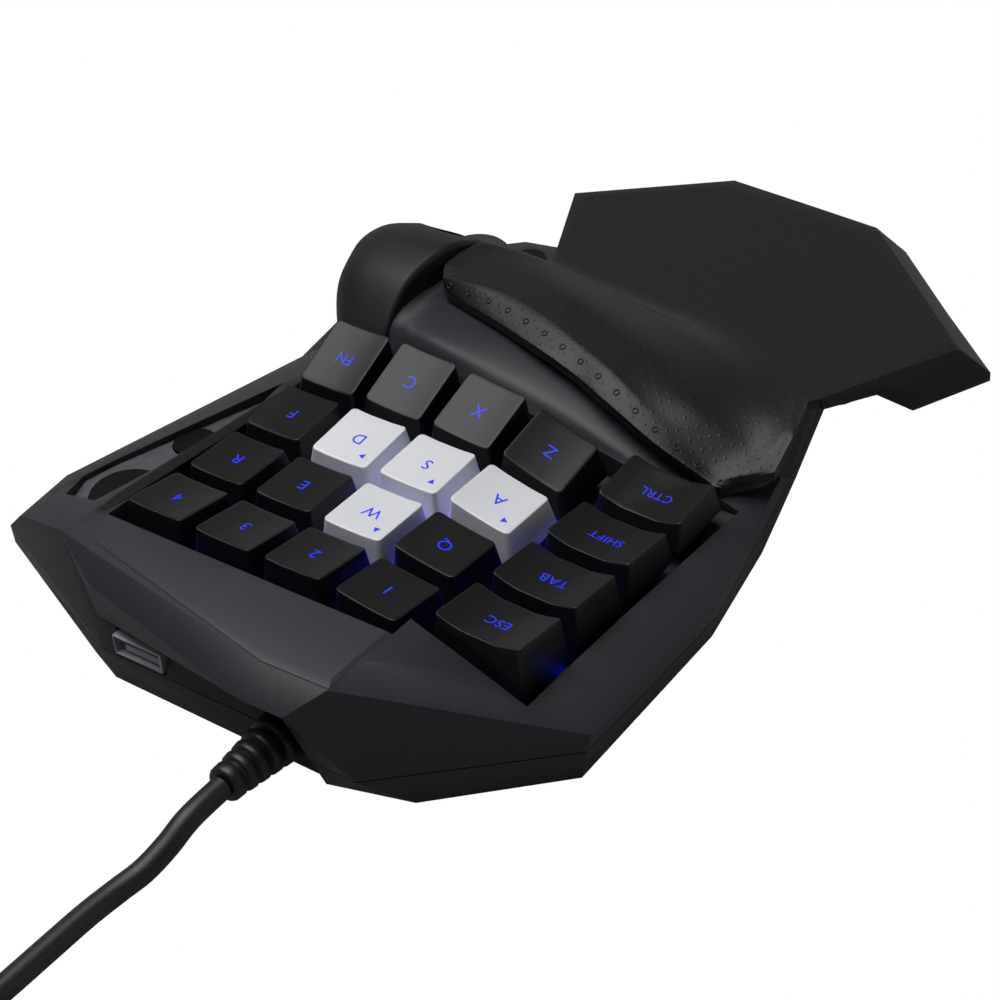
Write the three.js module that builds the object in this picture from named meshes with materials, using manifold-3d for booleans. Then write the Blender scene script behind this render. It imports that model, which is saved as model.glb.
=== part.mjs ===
// A left-hand gaming keypad: twenty sculpted keys in a faceted housing, a thumb stick behind a rounded
// hump, a sliding palm rest and a cable with a strain relief. Millimetres, +X to the user's right,
// +Y away from the user, +Z up. The origin is the middle of the underside.
import * as THREE from 'three';
import { ConvexGeometry } from 'three/addons/geometries/ConvexGeometry.js';
import { mergeVertices } from 'three/addons/utils/BufferGeometryUtils.js';
import Module from 'manifold-3d';

const wasm = await Module();
wasm.setup();

// Driving sizes of the whole product; the corner tables below are shares of these three
const body_width = 150;
const body_depth = 200;
const body_height = 50;
const wall = 2.2;
const roof_wall = 3.4;
const floor_wall = 2.2;
const clearance = 0.3;
const overrun = 20;
const merge_distance = 0.0001;
const foot_rise = 0.8;
const seam_height = 9.6;

// Keys
const key_pitch = 19.05;
const cap_base = 18;
const cap_top_width = 14.8;
const cap_top_depth = 14.9;
const cap_corner = 1.6;
const cap_base_corner = 1;
const cap_wall = 1.3;
const cap_roof = 1.8;
const cap_scoop = 0.55;
const cap_skirt_drop = 11.2;
const key_travel = 3.5;
const wide_key_offset = 53.2;
const wide_key_shift = 4.3;
const wide_key_base = 22.6;
const wide_key_base_depth = 17.4;
const wide_key_top = 20.8;
const wide_key_top_depth = 14.2;
const wide_key_scoop = 2.3;
const wide_key_roof = 1.2;
const stem_diameter = 5.6;
const stem_drop = 3;

// Rise and lean of the key tops, from the row nearest the user back and from the little finger inward
const cap_rises = [[-1.8, 1, 0.9, -0.5], [-1.3, -0.3, -1.8, -3.2], [0.6, 0.4, -1, -2.5], [3.3, 3.6, 1.8, 0.7]];
const wide_rises = [-4.2, -2, 1.4, 5.4];
const cap_tilt_degrees = [[-8.4, -15.8, -20.4, -23.1], [5.1, 0.8, -2.2, 0.1], [7.8, 4.6, 5.1, 5.8],
  [12.4, 12.4, 13.9, 14.1]];
const cap_roll_degrees = [[16.2, 2.1, -0.1, -3.9], [10.8, -2.7, -3.9, -4.2], [6.6, -4, -4.4, -3.8],
  [4.6, -5, -3.4, -3.8]];
const wide_tilt_degrees = [-1.1, 10.1, 9.8, 12.6];
const wide_roll_degrees = -2.3;
const row_names = [['z', 'x', 'c', 'fn'], ['a', 's', 'd', 'f'], ['q', 'w', 'e', 'r'], ['1', '2', '3', '4']];
const wide_names = ['ctrl', 'shift', 'tab', 'esc'];
const pale_names = ['w', 'a', 's', 'd'];

// The key field leans down to the back and to the little finger
const field_height = 32;
const field_pitch_degrees = 5.2;
const field_tent_degrees = 4.5;

// Key plate, switches and boards, measured down from the plane of the key tops
const plate_drop = 15.3;
const plate_thickness = 1.5;
const switch_base = 14;
const switch_top = 11;
const switch_rise = 3.2;
const switch_drop = 2.2;
const board_thickness = 1.6;
const board_inset = 3.4;

// Rear panel, brushed strip and the two round buttons in it
const panel_thickness = 1.6;
const panel_height = 30.3;
const strip_thickness = 1.2;
const strip_lean_degrees = 2.5;
const button_radii = [8.6, 5];
const button_stem_radius = 2.5;
const button_travel = 0.8;
const button_rise = 0.5;
const strip_height = 23;
const thumb_board_height = 9.8;
const thumb_board_width = 10;
const thumb_board_depth = 36;

// Thumb side
const thumb_ledge_height = 20.5;
const cove_radius = 13.2;
const cove_height = 50;
const stick_pivot_height = 13.6;
const stick_hole_radius = 7;
const stick_ring_radius = 11;
const stick_ring_height = 0.9;
const stick_cap_radius = 8;
const stick_cap_low = 25.4;
const stick_cap_high = 31;
const stick_cap_dish = 1.6;
const stick_radius = 2.4;
const gimbal_outer = 11.4;
const gimbal_inner = 7.4;
const gimbal_height = 3;
const trunnion_radius = 1;
const stick_base_outer = 15.6;
const stick_base_inner = 12.8;
const stick_base_low = 5;
const stick_base_floor = 2;
const stick_base_high = 16.4;
const thumb_button_radius = 4;
const thumb_button_rise = 1.6;
const thumb_button_depth = 5;

// Palm rest
const palm_thickness = 2.6;
const palm_gap = 0.5;
const carrier_thickness = 2.4;
const carrier_height = 24.4;
const carrier_level_share = 0.488;
const palm_travel = 20;
const screw_shaft_radius = 1.9;
const screw_head_radius = 4.4;
const screw_head_height = 2.4;
const screw_head_drop = 0.8;

// USB socket
const socket_width = 13.8;
const socket_height = 5.2;
const socket_sheet = 0.3;
const socket_depth = 12.5;
const socket_level = 12.9;
const socket_recess = 1.3;
const tongue_width = 11.4;
const tongue_thickness = 1.8;
const tongue_setback = 4.6;
const tongue_rise = 1;

// Cable
const cord_diameter = 5.2;
const relief_root = 11.4;
const relief_tip = 8;
const relief_length = 18;
const relief_inner = 4.5;
const relief_level = 9.2;
const relief_groove = 1.1;
const relief_ring_count = 4;
const rib_share = 0.55;
const cord_sides = 10;
const cord_steps = 44;
const coil_radius = 37.5;
const coil_pitch = 7;
const coil_layer_rise = 6;
const coil_turn_count = 2.4;
const coil_layer_count = 4;
const coil_lead = 12;
const coil_tail = 84;
const coil_steps_per_turn = 24;
const coil_sides = 6;
const tie_width = 11;
const tie_thickness = 0.9;
const tie_slack = 0.7;
const plug_width = 12;
const plug_height = 4.5;
const plug_length = 18.8;
const plug_sheet = 0.35;
const plug_grip_width = 16;
const plug_grip_height = 8;
const plug_grip_length = 26;
const plug_grip_corner = 2;

// Feet and case screws
const foot_radius = 5;
const foot_thickness = 1.6;
const case_screw_radius = 1.3;
const case_screw_head = 2.6;
const case_screw_head_height = 1.8;
const case_screw_length = 13;
const post_radius = 3.6;
const counterbore_depth = 4.4;
const round_sides = 24;
const fine_sides = 40;
const scoop_sides = 96;

// Corners of the keyboard half: underside, seam, side ridges and deck
const keyboard_shares = [
  [0.1907, 0.275, 0.016], [-0.188, 0.279, 0.016], [-0.338, 0.261, 0.016], [-0.4967, 0.1425, 0.016],
  [-0.488, 0.0145, 0.016], [-0.484, -0.1165, 0.016], [-0.442, -0.271, 0.016],
  [-0.4107, -0.3525, 0.016], [0.3333, -0.2, 0.016], [0.3733, -0.05, 0.016], [0.4, 0.09, 0.016],
  [0.3733, 0.2, 0.016], [0.2567, 0.255, 0.016], [-0.512, 0.149, 0.192], [-0.512, 0.055, 0.192],
  [-0.5067, -0.1, 0.192], [-0.452, -0.27, 0.192], [-0.42, -0.36, 0.192], [0.36, -0.21, 0.192],
  [0.4, -0.04, 0.192], [0.4267, 0.1, 0.192], [0.44, 0.2, 0.192], [0.2667, 0.2575, 0.192],
  [0.1907, 0.284, 0.192], [-0.2667, 0.2865, 0.192], [-0.5173, 0.143, 0.27], [-0.5167, 0.0565, 0.28],
  [-0.51, -0.09, 0.28], [-0.456, -0.265, 0.3], [-0.44, -0.314, 0.32], [-0.44, 0.16, 0.37],
  [-0.44, -0.215, 0.326], [-0.2533, 0.1595, 0.606], [-0.2553, 0.25, 0.606], [0.294, 0.2465, 0.606],
  [0.2867, 0.2, 0.604], [0.282, -0.19, 0.546], [0.46, 0.2125, 0.36], [0.4613, 0.21, 0.26],
  [0.4273, 0.215, 0.458], [0.4427, 0.131, 0.452], [0.4207, 0.0885, 0.46], [0.356, -0.053, 0.484],
  [0.3, -0.15, 0.514], [0.3333, -0.21, 0.48], [0.2393, 0.265, 0.17], [0.2, -0.32, 0.44],
];

// The cut corner at the back on the little finger side
const chamfer_shares = [
  [-0.338, 0.261, 0.016], [-0.4967, 0.1425, 0.016], [-0.212, 0.287, 0.016], [-0.2667, 0.15, 0.016],
  [-0.512, 0.149, 0.192], [-0.29, 0.306, 0.192], [-0.2153, 0.338, 0.516], [-0.2553, 0.3015, 0.606],
  [-0.5173, 0.143, 0.27], [-0.2533, 0.1595, 0.606], [-0.44, 0.16, 0.37], [-0.2267, 0.285, 0.35],
  [-0.2267, 0.225, 0.35], [-0.2267, 0.225, 0.56],
];

// The visor that leans over the back wall
const visor_shares = [
  [-0.2553, 0.198, 0.606], [0.2547, 0.1975, 0.606], [0.294, 0.2465, 0.606], [-0.2553, 0.3015, 0.606],
  [-0.1433, 0.303, 0.606], [0.2293, 0.2435, 0.606], [-0.2153, 0.338, 0.516],
  [-0.1487, 0.3385, 0.516], [0.2007, 0.28, 0.516], [-0.2267, 0.285, 0.35], [0.2, 0.2775, 0.35],
  [-0.2267, 0.25, 0.35], [0.2, 0.24, 0.35],
];

// The base under the palm rest
const palm_base_shares = [
  [-0.4107, -0.3525, 0.016], [-0.3853, -0.4175, 0.016], [-0.348, -0.504, 0.016],
  [-0.3193, -0.576, 0.016], [-0.24, -0.675, 0.016], [0.04, -0.695, 0.016], [0.16, -0.585, 0.016],
  [0.16, -0.25, 0.016], [-0.3867, -0.25, 0.016], [-0.42, -0.36, 0.192], [-0.396, -0.42, 0.192],
  [-0.3587, -0.505, 0.192], [-0.328, -0.58, 0.192], [-0.2533, -0.69, 0.192], [0.0533, -0.71, 0.192],
  [0.1667, -0.6, 0.192], [0.1667, -0.25, 0.192], [-0.4133, -0.3, 0.31], [-0.4133, -0.37, 0.32],
  [-0.28, -0.3, 0.48], [-0.3733, -0.42, 0.48], [-0.3667, -0.505, 0.48], [-0.3367, -0.58, 0.48],
  [-0.26, -0.695, 0.48], [0.06, -0.715, 0.48], [0.17, -0.605, 0.48], [0.1667, -0.29, 0.48],
  [0.1667, -0.25, 0.4], [-0.3867, -0.25, 0.28],
];

// The ledge under the thumb
const thumb_base_shares = [
  [0.1733, -0.18, 0.016], [0.34, -0.18, 0.016], [0.3533, -0.31, 0.016], [0.36, -0.4, 0.016],
  [0.32, -0.495, 0.016], [0.24, -0.55, 0.016], [0.1333, -0.56, 0.016], [0.1733, -0.18, 0.36],
  [0.36, -0.19, 0.41], [0.3867, -0.31, 0.41], [0.3933, -0.41, 0.41], [0.3533, -0.51, 0.41],
  [0.2667, -0.57, 0.41], [0.1333, -0.59, 0.41], [0.1333, -0.56, 0.192],
];

// Outline of the key well, in the leaning plane of the keys
const well_shares = [
  [-0.4427, -0.225], [-0.2793, -0.225], [-0.2793, -0.205], [0.262, -0.205], [0.262, 0.1985],
  [-0.256, 0.1985], [-0.256, 0.1685], [-0.4427, 0.1685],
];

// Outline of the level panel behind the keys
const rear_panel_shares = [
  [0.248, 0.206], [-0.2453, 0.206], [-0.248, 0.296], [-0.144, 0.297], [0.2213, 0.239],
];

// Outline of the brushed strip beside the keys
const strip_place_share = 0.13;
const strip_shares = [
  [0.3147, 0.047], [0.388, 0.039], [0.4047, -0.0005], [0.3893, -0.0425], [0.326, -0.1675],
  [0.288, -0.24], [0.278, -0.2], [0.2787, -0.12], [0.2933, -0.025],
];

// Sections of the shelf in front of the palm rest, five corners each
const shelf_shares = [
  [0.2133, -0.23, 0.58], [0.2067, -0.25, 0.68], [0.2, -0.295, 0.7], [0.2133, -0.295, 0.48],
  [0.2133, -0.23, 0.48], [0.0267, -0.215, 0.6], [0.0267, -0.2325, 0.67], [0.0333, -0.29, 0.692],
  [0.0333, -0.29, 0.44], [0.0267, -0.215, 0.44], [-0.1133, -0.21, 0.54], [-0.1067, -0.2275, 0.61],
  [-0.0933, -0.28, 0.64], [-0.0933, -0.28, 0.4], [-0.1133, -0.21, 0.4], [-0.2533, -0.209, 0.46],
  [-0.2467, -0.22, 0.5], [-0.2267, -0.25, 0.53], [-0.2267, -0.25, 0.36], [-0.2533, -0.209, 0.36],
  [-0.3867, -0.228, 0.354], [-0.38, -0.231, 0.36], [-0.3667, -0.24, 0.37], [-0.3667, -0.24, 0.28],
  [-0.3867, -0.228, 0.28],
];

// Stations of the palm rest from the thumb to the little finger, eight points each from the lip back
const palm_shares = [
  [0.1667, -0.31, 0.76], [0.16, -0.325, 0.81], [0.1633, -0.345, 0.89], [0.1667, -0.375, 0.946],
  [0.1633, -0.43, 0.8], [0.1467, -0.485, 0.6], [0.22, -0.635, 0.6], [0.2227, -0.638, 0.48],
  [0.0533, -0.285, 0.78], [0.0333, -0.3, 0.83], [0.04, -0.325, 0.9], [0.06, -0.375, 0.944],
  [0.0533, -0.42, 0.81], [0.0333, -0.465, 0.6], [0.0133, -0.765, 0.6], [0.0153, -0.77, 0.48],
  [-0.06, -0.265, 0.76], [-0.0533, -0.28, 0.83], [-0.0533, -0.305, 0.89], [-0.0533, -0.365, 0.932],
  [-0.06, -0.405, 0.8], [-0.0733, -0.44, 0.6], [-0.1333, -0.7575, 0.6], [-0.1467, -0.765, 0.5],
  [-0.1333, -0.255, 0.72], [-0.14, -0.265, 0.8], [-0.1467, -0.29, 0.86], [-0.1533, -0.35, 0.9],
  [-0.1667, -0.385, 0.78], [-0.18, -0.415, 0.6], [-0.28, -0.745, 0.6], [-0.34, -0.735, 0.51],
  [-0.2067, -0.235, 0.68], [-0.2133, -0.25, 0.75], [-0.22, -0.275, 0.81], [-0.24, -0.33, 0.85],
  [-0.2533, -0.365, 0.74], [-0.2667, -0.395, 0.6], [-0.4267, -0.645, 0.6], [-0.48, -0.6375, 0.51],
  [-0.3067, -0.2225, 0.56], [-0.3067, -0.2375, 0.64], [-0.32, -0.26, 0.7], [-0.34, -0.31, 0.74],
  [-0.3533, -0.345, 0.68], [-0.36, -0.38, 0.6], [-0.5667, -0.55, 0.6], [-0.62, -0.54, 0.51],
  [-0.3867, -0.23, 0.45], [-0.4, -0.24, 0.5], [-0.4133, -0.255, 0.56], [-0.4333, -0.29, 0.62],
  [-0.44, -0.325, 0.62], [-0.44, -0.37, 0.6], [-0.5067, -0.44, 0.6], [-0.56, -0.435, 0.5],
  [-0.4267, -0.2375, 0.4], [-0.4467, -0.2425, 0.43], [-0.4667, -0.25, 0.48], [-0.49, -0.275, 0.52],
  [-0.49, -0.32, 0.54], [-0.4667, -0.37, 0.53], [-0.4933, -0.42, 0.52], [-0.5267, -0.425, 0.48],
];

// Sections of the hump from the keys back: place along the depth, width and height
const hump_inner_share = 0.185;
const hump_steps = 8;
const hump_shoulder_share = 0.033;
const hump_shares = [[-0.225, 0.115, 0.57], [-0.25, 0.143, 0.712], [-0.28, 0.174, 0.822], [-0.31, 0.19, 0.87],
  [-0.34, 0.202, 0.89], [-0.37, 0.205, 0.874], [-0.4, 0.198, 0.824], [-0.435, 0.188, 0.75], [-0.47, 0.18, 0.65],
  [-0.5, 0.17, 0.54]];
const carrier_inset_share = 0.012;
const coil_reach_share = 0.75;
const coil_drift_share = 0.3;
const coil_finer_share = 1;
const grip_taper_share = 0.75;
const tail_shares = [[0.15, 0], [0.32, 0], [0.5, 0.3], [0.7, 0.85], [0.85, 1], [0.94, 1], [1, 1]];

// Places, as shares of the body
const button_shares = [[0.326, -0.006], [0.3213, -0.116]];
const stick_place_shares = [0.25, -0.453];
const thumb_button_shares = [0.22, -0.53];
const foot_place_shares = [[-0.4, 0.1], [0.3, 0.17], [-0.28, -0.49], [0.09, -0.57]];
const post_place_shares = [[0.245, 0.222], [-0.24, 0.232], [0.305, -0.17], [-0.32, -0.38], [-0.18, -0.62], [0.07, -0.5]];
const socket_place_shares = [0.121, 0.284];
const relief_place_shares = [-0.1427, 0.288];
const palm_screw_shares = [-0.12, -0.5];
const thumb_board_shares = [0.34, 0.06];
// Run of the cable from the strain relief down to the surface and out to the coil
const cord_route_shares = [[-0.1427, 0.408, 0.184], [-0.142, 0.43, 0.168], [-0.138, 0.46, 0.116],
  [-0.131, 0.49, 0.072], [-0.123, 0.52, 0.056], [-0.119, 0.56, 0.054], [-0.119, 0.61, 0.054],
  [-0.12, 0.675, 0.056], [-0.12, 0.76, 0.066], [-0.12, 0.82, 0.08], [-0.12, 0.855, 0.088]];

const degrees = THREE.MathUtils.degToRad;
const at = ([x, y, z = 0]) => new THREE.Vector3(x * body_width, y * body_depth, z * body_height);
const palm_height = carrier_height / carrier_level_share;
const palm_at = ([x, y, z]) => new THREE.Vector3(x * body_width, y * body_depth, z * palm_height);

// Solids and their joins
function toSolid(geometry) {
  geometry.deleteAttribute('normal');
  geometry.deleteAttribute('uv');
  const joined = mergeVertices(geometry, merge_distance);
  return new wasm.Manifold(new wasm.Mesh({
    numProp: 3,
    vertProperties: new Float32Array(joined.attributes.position.array),
    triVerts: new Uint32Array(joined.index.array),
  }));
}

function toGeometry(solid) {
  const mesh = solid.getMesh();
  const geometry = new THREE.BufferGeometry();
  geometry.setAttribute('position', new THREE.BufferAttribute(new Float32Array(mesh.vertProperties), 3));
  geometry.setIndex(new THREE.BufferAttribute(new Uint32Array(mesh.triVerts), 1));
  const flat = geometry.toNonIndexed();
  flat.computeVertexNormals();
  return flat;
}

const hullOf = (points) => toSolid(new ConvexGeometry(points));
const placing = (shares) => (shares === palm_base_shares ? palm_at : at);
const hull = (shares) => hullOf(shares.map(placing(shares)));
const join = (...solids) => wasm.Manifold.union(solids);
const placed = (solid, matrix) => solid.transform(matrix.elements);
const shifted = (solid, x, y, z) => solid.translate([x, y, z]);

function prism(points, low, high) {
  const shape = new THREE.Shape(points.map(([x, y]) => new THREE.Vector2(x, y)));
  const geometry = new THREE.ExtrudeGeometry(shape, { depth: high - low, bevelEnabled: false });
  geometry.translate(0, 0, low);
  return toSolid(geometry);
}

function block(width, depth, low, high) {
  const geometry = new THREE.BoxGeometry(width, depth, high - low);
  geometry.translate(0, 0, (low + high) / 2);
  return toSolid(geometry);
}

// A turned piece: radius and height pairs that start and end on the axis
function turned(profile, sides) {
  const points = profile.map(([radius, height]) => new THREE.Vector2(radius, height));
  const geometry = new THREE.LatheGeometry(points, sides);
  geometry.rotateX(Math.PI / 2);
  return toSolid(geometry);
}

const rod = (radius, low, high, sides = round_sides) => turned(
  [[0, low], [radius, low], [radius, high], [0, high]], sides);

// Every edge of a convex or stepped outline moved outward by a distance, corners kept
function offset(points, distance) {
  const count = points.length;
  const sense = THREE.ShapeUtils.isClockWise(points.map(([x, y]) => new THREE.Vector2(x, y))) ? 1 : -1;
  const shift = distance * sense;
  return points.map((point, index) => {
    const before = points[(index + count - 1) % count];
    const after = points[(index + 1) % count];
    const a = new THREE.Vector2(point[0] - before[0], point[1] - before[1]).normalize();
    const b = new THREE.Vector2(after[0] - point[0], after[1] - point[1]).normalize();
    const turn = a.x * b.y - a.y * b.x;
    const along = turn === 0 ? 0 : (1 - a.dot(b)) / turn;
    return [point[0] + shift * (-a.y - a.x * along), point[1] + shift * (a.x - a.y * along)];
  });
}

const field = new THREE.Matrix4().makeRotationFromEuler(
  new THREE.Euler(-degrees(field_pitch_degrees), -degrees(field_tent_degrees), 0, 'YXZ'));
field.setPosition(0, 0, field_height);

const group = new THREE.Group();
const cord_names = [];

function add(name, solid, look) {
  const mesh = new THREE.Mesh(toGeometry(solid), new THREE.MeshStandardMaterial(look));
  mesh.name = name;
  group.add(mesh);
}

const charcoal = { color: 0x2b2a30, roughness: 0.55, metalness: 0 };
const dark_shell = { color: 0x1b1b1d, roughness: 0.6, metalness: 0 };
const panel_grey = { color: 0x3f3e44, roughness: 0.4, metalness: 0 };
const cap_black = { color: 0x151516, roughness: 0.45, metalness: 0 };
const cap_silver = { color: 0xb9bcc2, roughness: 0.35, metalness: 0.3 };
const rubber = { color: 0x1a1a1b, roughness: 0.8, metalness: 0 };
const brushed = { color: 0x55555a, roughness: 0.35, metalness: 0.8 };
const black_gloss = { color: 0x0e0e10, roughness: 0.3, metalness: 0 };
const bright_metal = { color: 0xb4b6ba, roughness: 0.25, metalness: 1 };
const board_green = { color: 0x16402c, roughness: 0.6, metalness: 0 };
const steel = { color: 0x77797d, roughness: 0.35, metalness: 1 };

// Housing
const outer_lists = [keyboard_shares, chamfer_shares, visor_shares, palm_base_shares, thumb_base_shares];
const outer = join(...outer_lists.map(hull));

function inward(share, place) {
  const point = place(share);
  const low = point.z < seam_height / 2;
  const roof = point.z > seam_height + overrun * merge_distance;
  point.x -= Math.sign(point.x) * wall;
  point.y -= Math.sign(point.y) * wall;
  point.z += low ? floor_wall : 0;
  point.z -= roof ? Math.min(roof_wall, point.z - seam_height) : 0;
  return point;
}

const inner = join(...[keyboard_shares, palm_base_shares, thumb_base_shares].map(
  (shares) => hullOf(shares.map((share) => inward(share, placing(shares))))));
const well_outline = well_shares.map(([x, y]) => [x * body_width, y * body_depth]);
const plate_top = -plate_drop;
const plate_bottom = plate_top - plate_thickness;
const collar = placed(prism(offset(well_outline, wall), plate_top + clearance, overrun), field);
const board_top = plate_bottom - switch_drop - clearance;
const board_bottom = board_top - board_thickness;
const well = placed(prism(well_outline, board_bottom - clearance, overrun), field);
const well_opening = placed(prism(well_outline, plate_top, overrun), field);

// Posts for the case screws, in both halves
const posts = post_place_shares.map((share) => at(share));
const post_stack = posts.map(({ x, y }) => shifted(rod(post_radius, foot_rise, body_height), x, y, 0));
const lower_bores = posts.map(({ x, y }) => shifted(turned([[0, -overrun],
  [case_screw_head + clearance, -overrun],
  [case_screw_head + clearance, counterbore_depth],
  [case_screw_radius + clearance, counterbore_depth],
  [case_screw_radius + clearance, counterbore_depth + case_screw_length],
  [0, counterbore_depth + case_screw_length]], round_sides), x, y, 0));
const thumb_board = at(thumb_board_shares);
const board_posts = [-1, 1].map((side) => shifted(rod(post_radius, foot_rise, seam_height), thumb_board.x,
  thumb_board.y + side * thumb_board_depth / 3, 0));

// The level bed of the strip beside the keys, in a frame of its own
const strip_place = new THREE.Matrix4().makeRotationX(-degrees(strip_lean_degrees));
strip_place.setPosition(0, strip_place_share * body_depth, strip_height);
const on_strip = (solid) => placed(solid, strip_place);
const strip_outline = strip_shares.map(([x, y]) => [x * body_width, y * body_depth]);
const button_floor = -strip_thickness - button_travel - 2 * clearance;
const strip_bed = on_strip(prism(offset(strip_outline, clearance + wall), button_floor - wall / 2, overrun));
const shell = join(outer.subtract(inner.subtract(collar)), ...post_stack, ...board_posts, strip_bed).intersect(outer)
  .subtract(join(well, ...lower_bores));

// Openings for the socket and the cable
const socket = at(socket_place_shares);
const relief = at(relief_place_shares);
const socket_hole = shifted(block(socket_width + 2 * clearance + wall / 3, overrun,
  socket_level - socket_height / 2 - clearance, socket_level + socket_height / 2 + clearance),
socket.x, socket.y, 0);
const relief_hole = shifted(rod(relief_root / 2 + clearance, 0, overrun, round_sides)
  .rotate([-90, 0, 0]), relief.x, relief.y - overrun / 2, relief_level);

// Recesses for the panel and the strip, which follow the outer skin
const panel_outline = rear_panel_shares.map(([x, y]) => [x * body_width, y * body_depth]);
const panel_recess = prism(offset(panel_outline, clearance), panel_height - panel_thickness - clearance, body_height);
const strip_floor = -strip_thickness - clearance;
const strip_recess = on_strip(prism(offset(strip_outline, clearance), strip_floor, overrun));
const buttons = button_shares.map(([x, y], index) => ({
  x: x * body_width, y: y * body_depth, radius: button_radii[index],
}));
const button_wells = on_strip(join(...buttons.map(({ x, y, radius }) => join(
  shifted(rod(radius + clearance, button_floor, overrun, fine_sides), x, y, 0)
    .intersect(prism(offset(strip_outline, clearance), button_floor, overrun)),
  shifted(rod(button_stem_radius + clearance, -overrun, overrun, round_sides), x, y, 0)))));

// Slot for the palm rest's screw, hole under the thumb stick and the small thumb button
const palm_screw = at(palm_screw_shares);
const slot_half = screw_shaft_radius + clearance;
const slot_points = [];
for (let index = 0; index < round_sides; index += 1) {
  const angle = 2 * Math.PI * (index + 1 / 2) / round_sides;
  const end = Math.sin(angle) < 0 ? -palm_travel : 0;
  slot_points.push([palm_screw.x + slot_half * Math.cos(angle), palm_screw.y + end + slot_half * Math.sin(angle)]);
}
const slot = prism(slot_points, seam_height + clearance, body_height);
const stick = at(stick_place_shares);
const thumb_button = at(thumb_button_shares);
const stick_hole = shifted(rod(stick_hole_radius, seam_height, body_height, fine_sides), stick.x, stick.y, 0);
const thumb_button_hole = shifted(rod(thumb_button_radius + clearance, seam_height, body_height), thumb_button.x, thumb_button.y, 0);

const split_gap = clearance / 2;
const above_seam = shifted(block(body_depth * 2, body_depth * 3, seam_height + split_gap, body_height * 2), 0, 0, 0);
const below_seam = shifted(block(body_depth * 2, body_depth * 3, -overrun, seam_height - split_gap), 0, 0, 0);
const top_cuts = join(panel_recess, strip_recess, button_wells, socket_hole, relief_hole, slot, stick_hole,
  thumb_button_hole);
const largest = (solid) => solid.decompose().reduce((best, piece) => (piece.volume() > best.volume() ? piece : best));
add('top_shell', largest(shell.subtract(top_cuts).intersect(above_seam)), charcoal);

const feet = foot_place_shares.map((share) => at(share));
const foot_recesses = feet.map(({ x, y }) => shifted(
  rod(foot_radius + clearance, -overrun, foot_thickness + clearance), x, y, 0));
add('bottom_shell', largest(shell.subtract(join(relief_hole, ...foot_recesses)).intersect(below_seam)), dark_shell);

// Panel, strip and its buttons
add('rear_panel', prism(panel_outline, panel_height - panel_thickness, panel_height), panel_grey);
const button_holes = join(...buttons.map(({ x, y, radius }) => shifted(
  rod(radius + clearance, -overrun, overrun, fine_sides), x, y, 0)));
add('strip_plate', on_strip(largest(prism(strip_outline, -strip_thickness, 0).subtract(button_holes))), brushed);
['home_button', 'mode_button'].forEach((name, index) => {
  const { x, y, radius } = buttons[index];
  const disc = shifted(rod(radius, strip_floor, button_rise, fine_sides), x, y, 0)
    .intersect(prism(strip_outline, strip_floor, overrun));
  const stem = shifted(rod(button_stem_radius, -overrun, 0, round_sides), x, y, 0);
  const stem_low = thumb_board_height + board_thickness + 2 * clearance + button_travel;
  const cut = block(body_depth, body_depth * 2, -overrun, stem_low);
  add(name, on_strip(join(disc, stem)).subtract(cut), black_gloss);
});
add('thumb_board', shifted(block(thumb_board_width, thumb_board_depth, thumb_board_height,
  thumb_board_height + board_thickness), thumb_board.x, thumb_board.y, 0), board_green);

// Key plate with its switch housings, and the board under it
const key_places = [];
row_names.forEach((names, row) => {
  names.forEach((name, column) => {
    key_places.push({ name, x: (column - 3 / 2) * key_pitch, y: (row - 3 / 2) * key_pitch, column, row, wide: false });
  });
  key_places.push({ name: wide_names[row], x: -wide_key_offset, y: (row - 3 / 2) * key_pitch - wide_key_shift, row, wide: true });
});
const stem_bottom = -cap_skirt_drop - stem_drop;
const square = (size, height) => [[-1, -1], [1, -1], [1, 1], [-1, 1]].map(
  ([x, y]) => new THREE.Vector3(x * size / 2, y * size / 2, height));
const switch_box = join(hullOf([...square(switch_base, plate_top - clearance), ...square(switch_top, plate_top + switch_rise)]),
  block(switch_base, switch_base, plate_bottom - switch_drop, plate_top - clearance));
const switch_bore = rod(stem_diameter / 2 + clearance, plate_bottom - overrun, overrun, 2 * Math.round(round_sides / 3));
const plate_slab = prism(offset(well_outline, -clearance), plate_bottom, plate_top);
const plate = join(plate_slab, ...key_places.map(({ x, y }) => shifted(switch_box, x, y, 0)))
  .subtract(join(...key_places.map(({ x, y }) => shifted(switch_bore, x, y, 0))));
add('key_plate', placed(plate, field), dark_shell);
add('main_board', placed(prism(offset(well_outline, -board_inset), board_bottom, board_top), field), board_green);

// A key cap: a loft from its skirt to its leaning top, scooped, hollow, with a stem
function ring(width, depth, radius, rise, tilt, roll) {
  const points = [];
  for (let corner = 0; corner < 4; corner += 1) {
    const side = [[1, 1], [-1, 1], [-1, -1], [1, -1]][corner];
    for (let step = 0; step < 3; step += 1) {
      const angle = Math.PI / 2 * (corner + step / 2);
      const x = side[0] * (width / 2 - radius) + radius * Math.cos(angle);
      const y = side[1] * (depth / 2 - radius) + radius * Math.sin(angle);
      points.push(new THREE.Vector3(x, y, rise + x * Math.tan(roll) + y * Math.tan(tilt)));
    }
  }
  return points;
}

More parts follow.
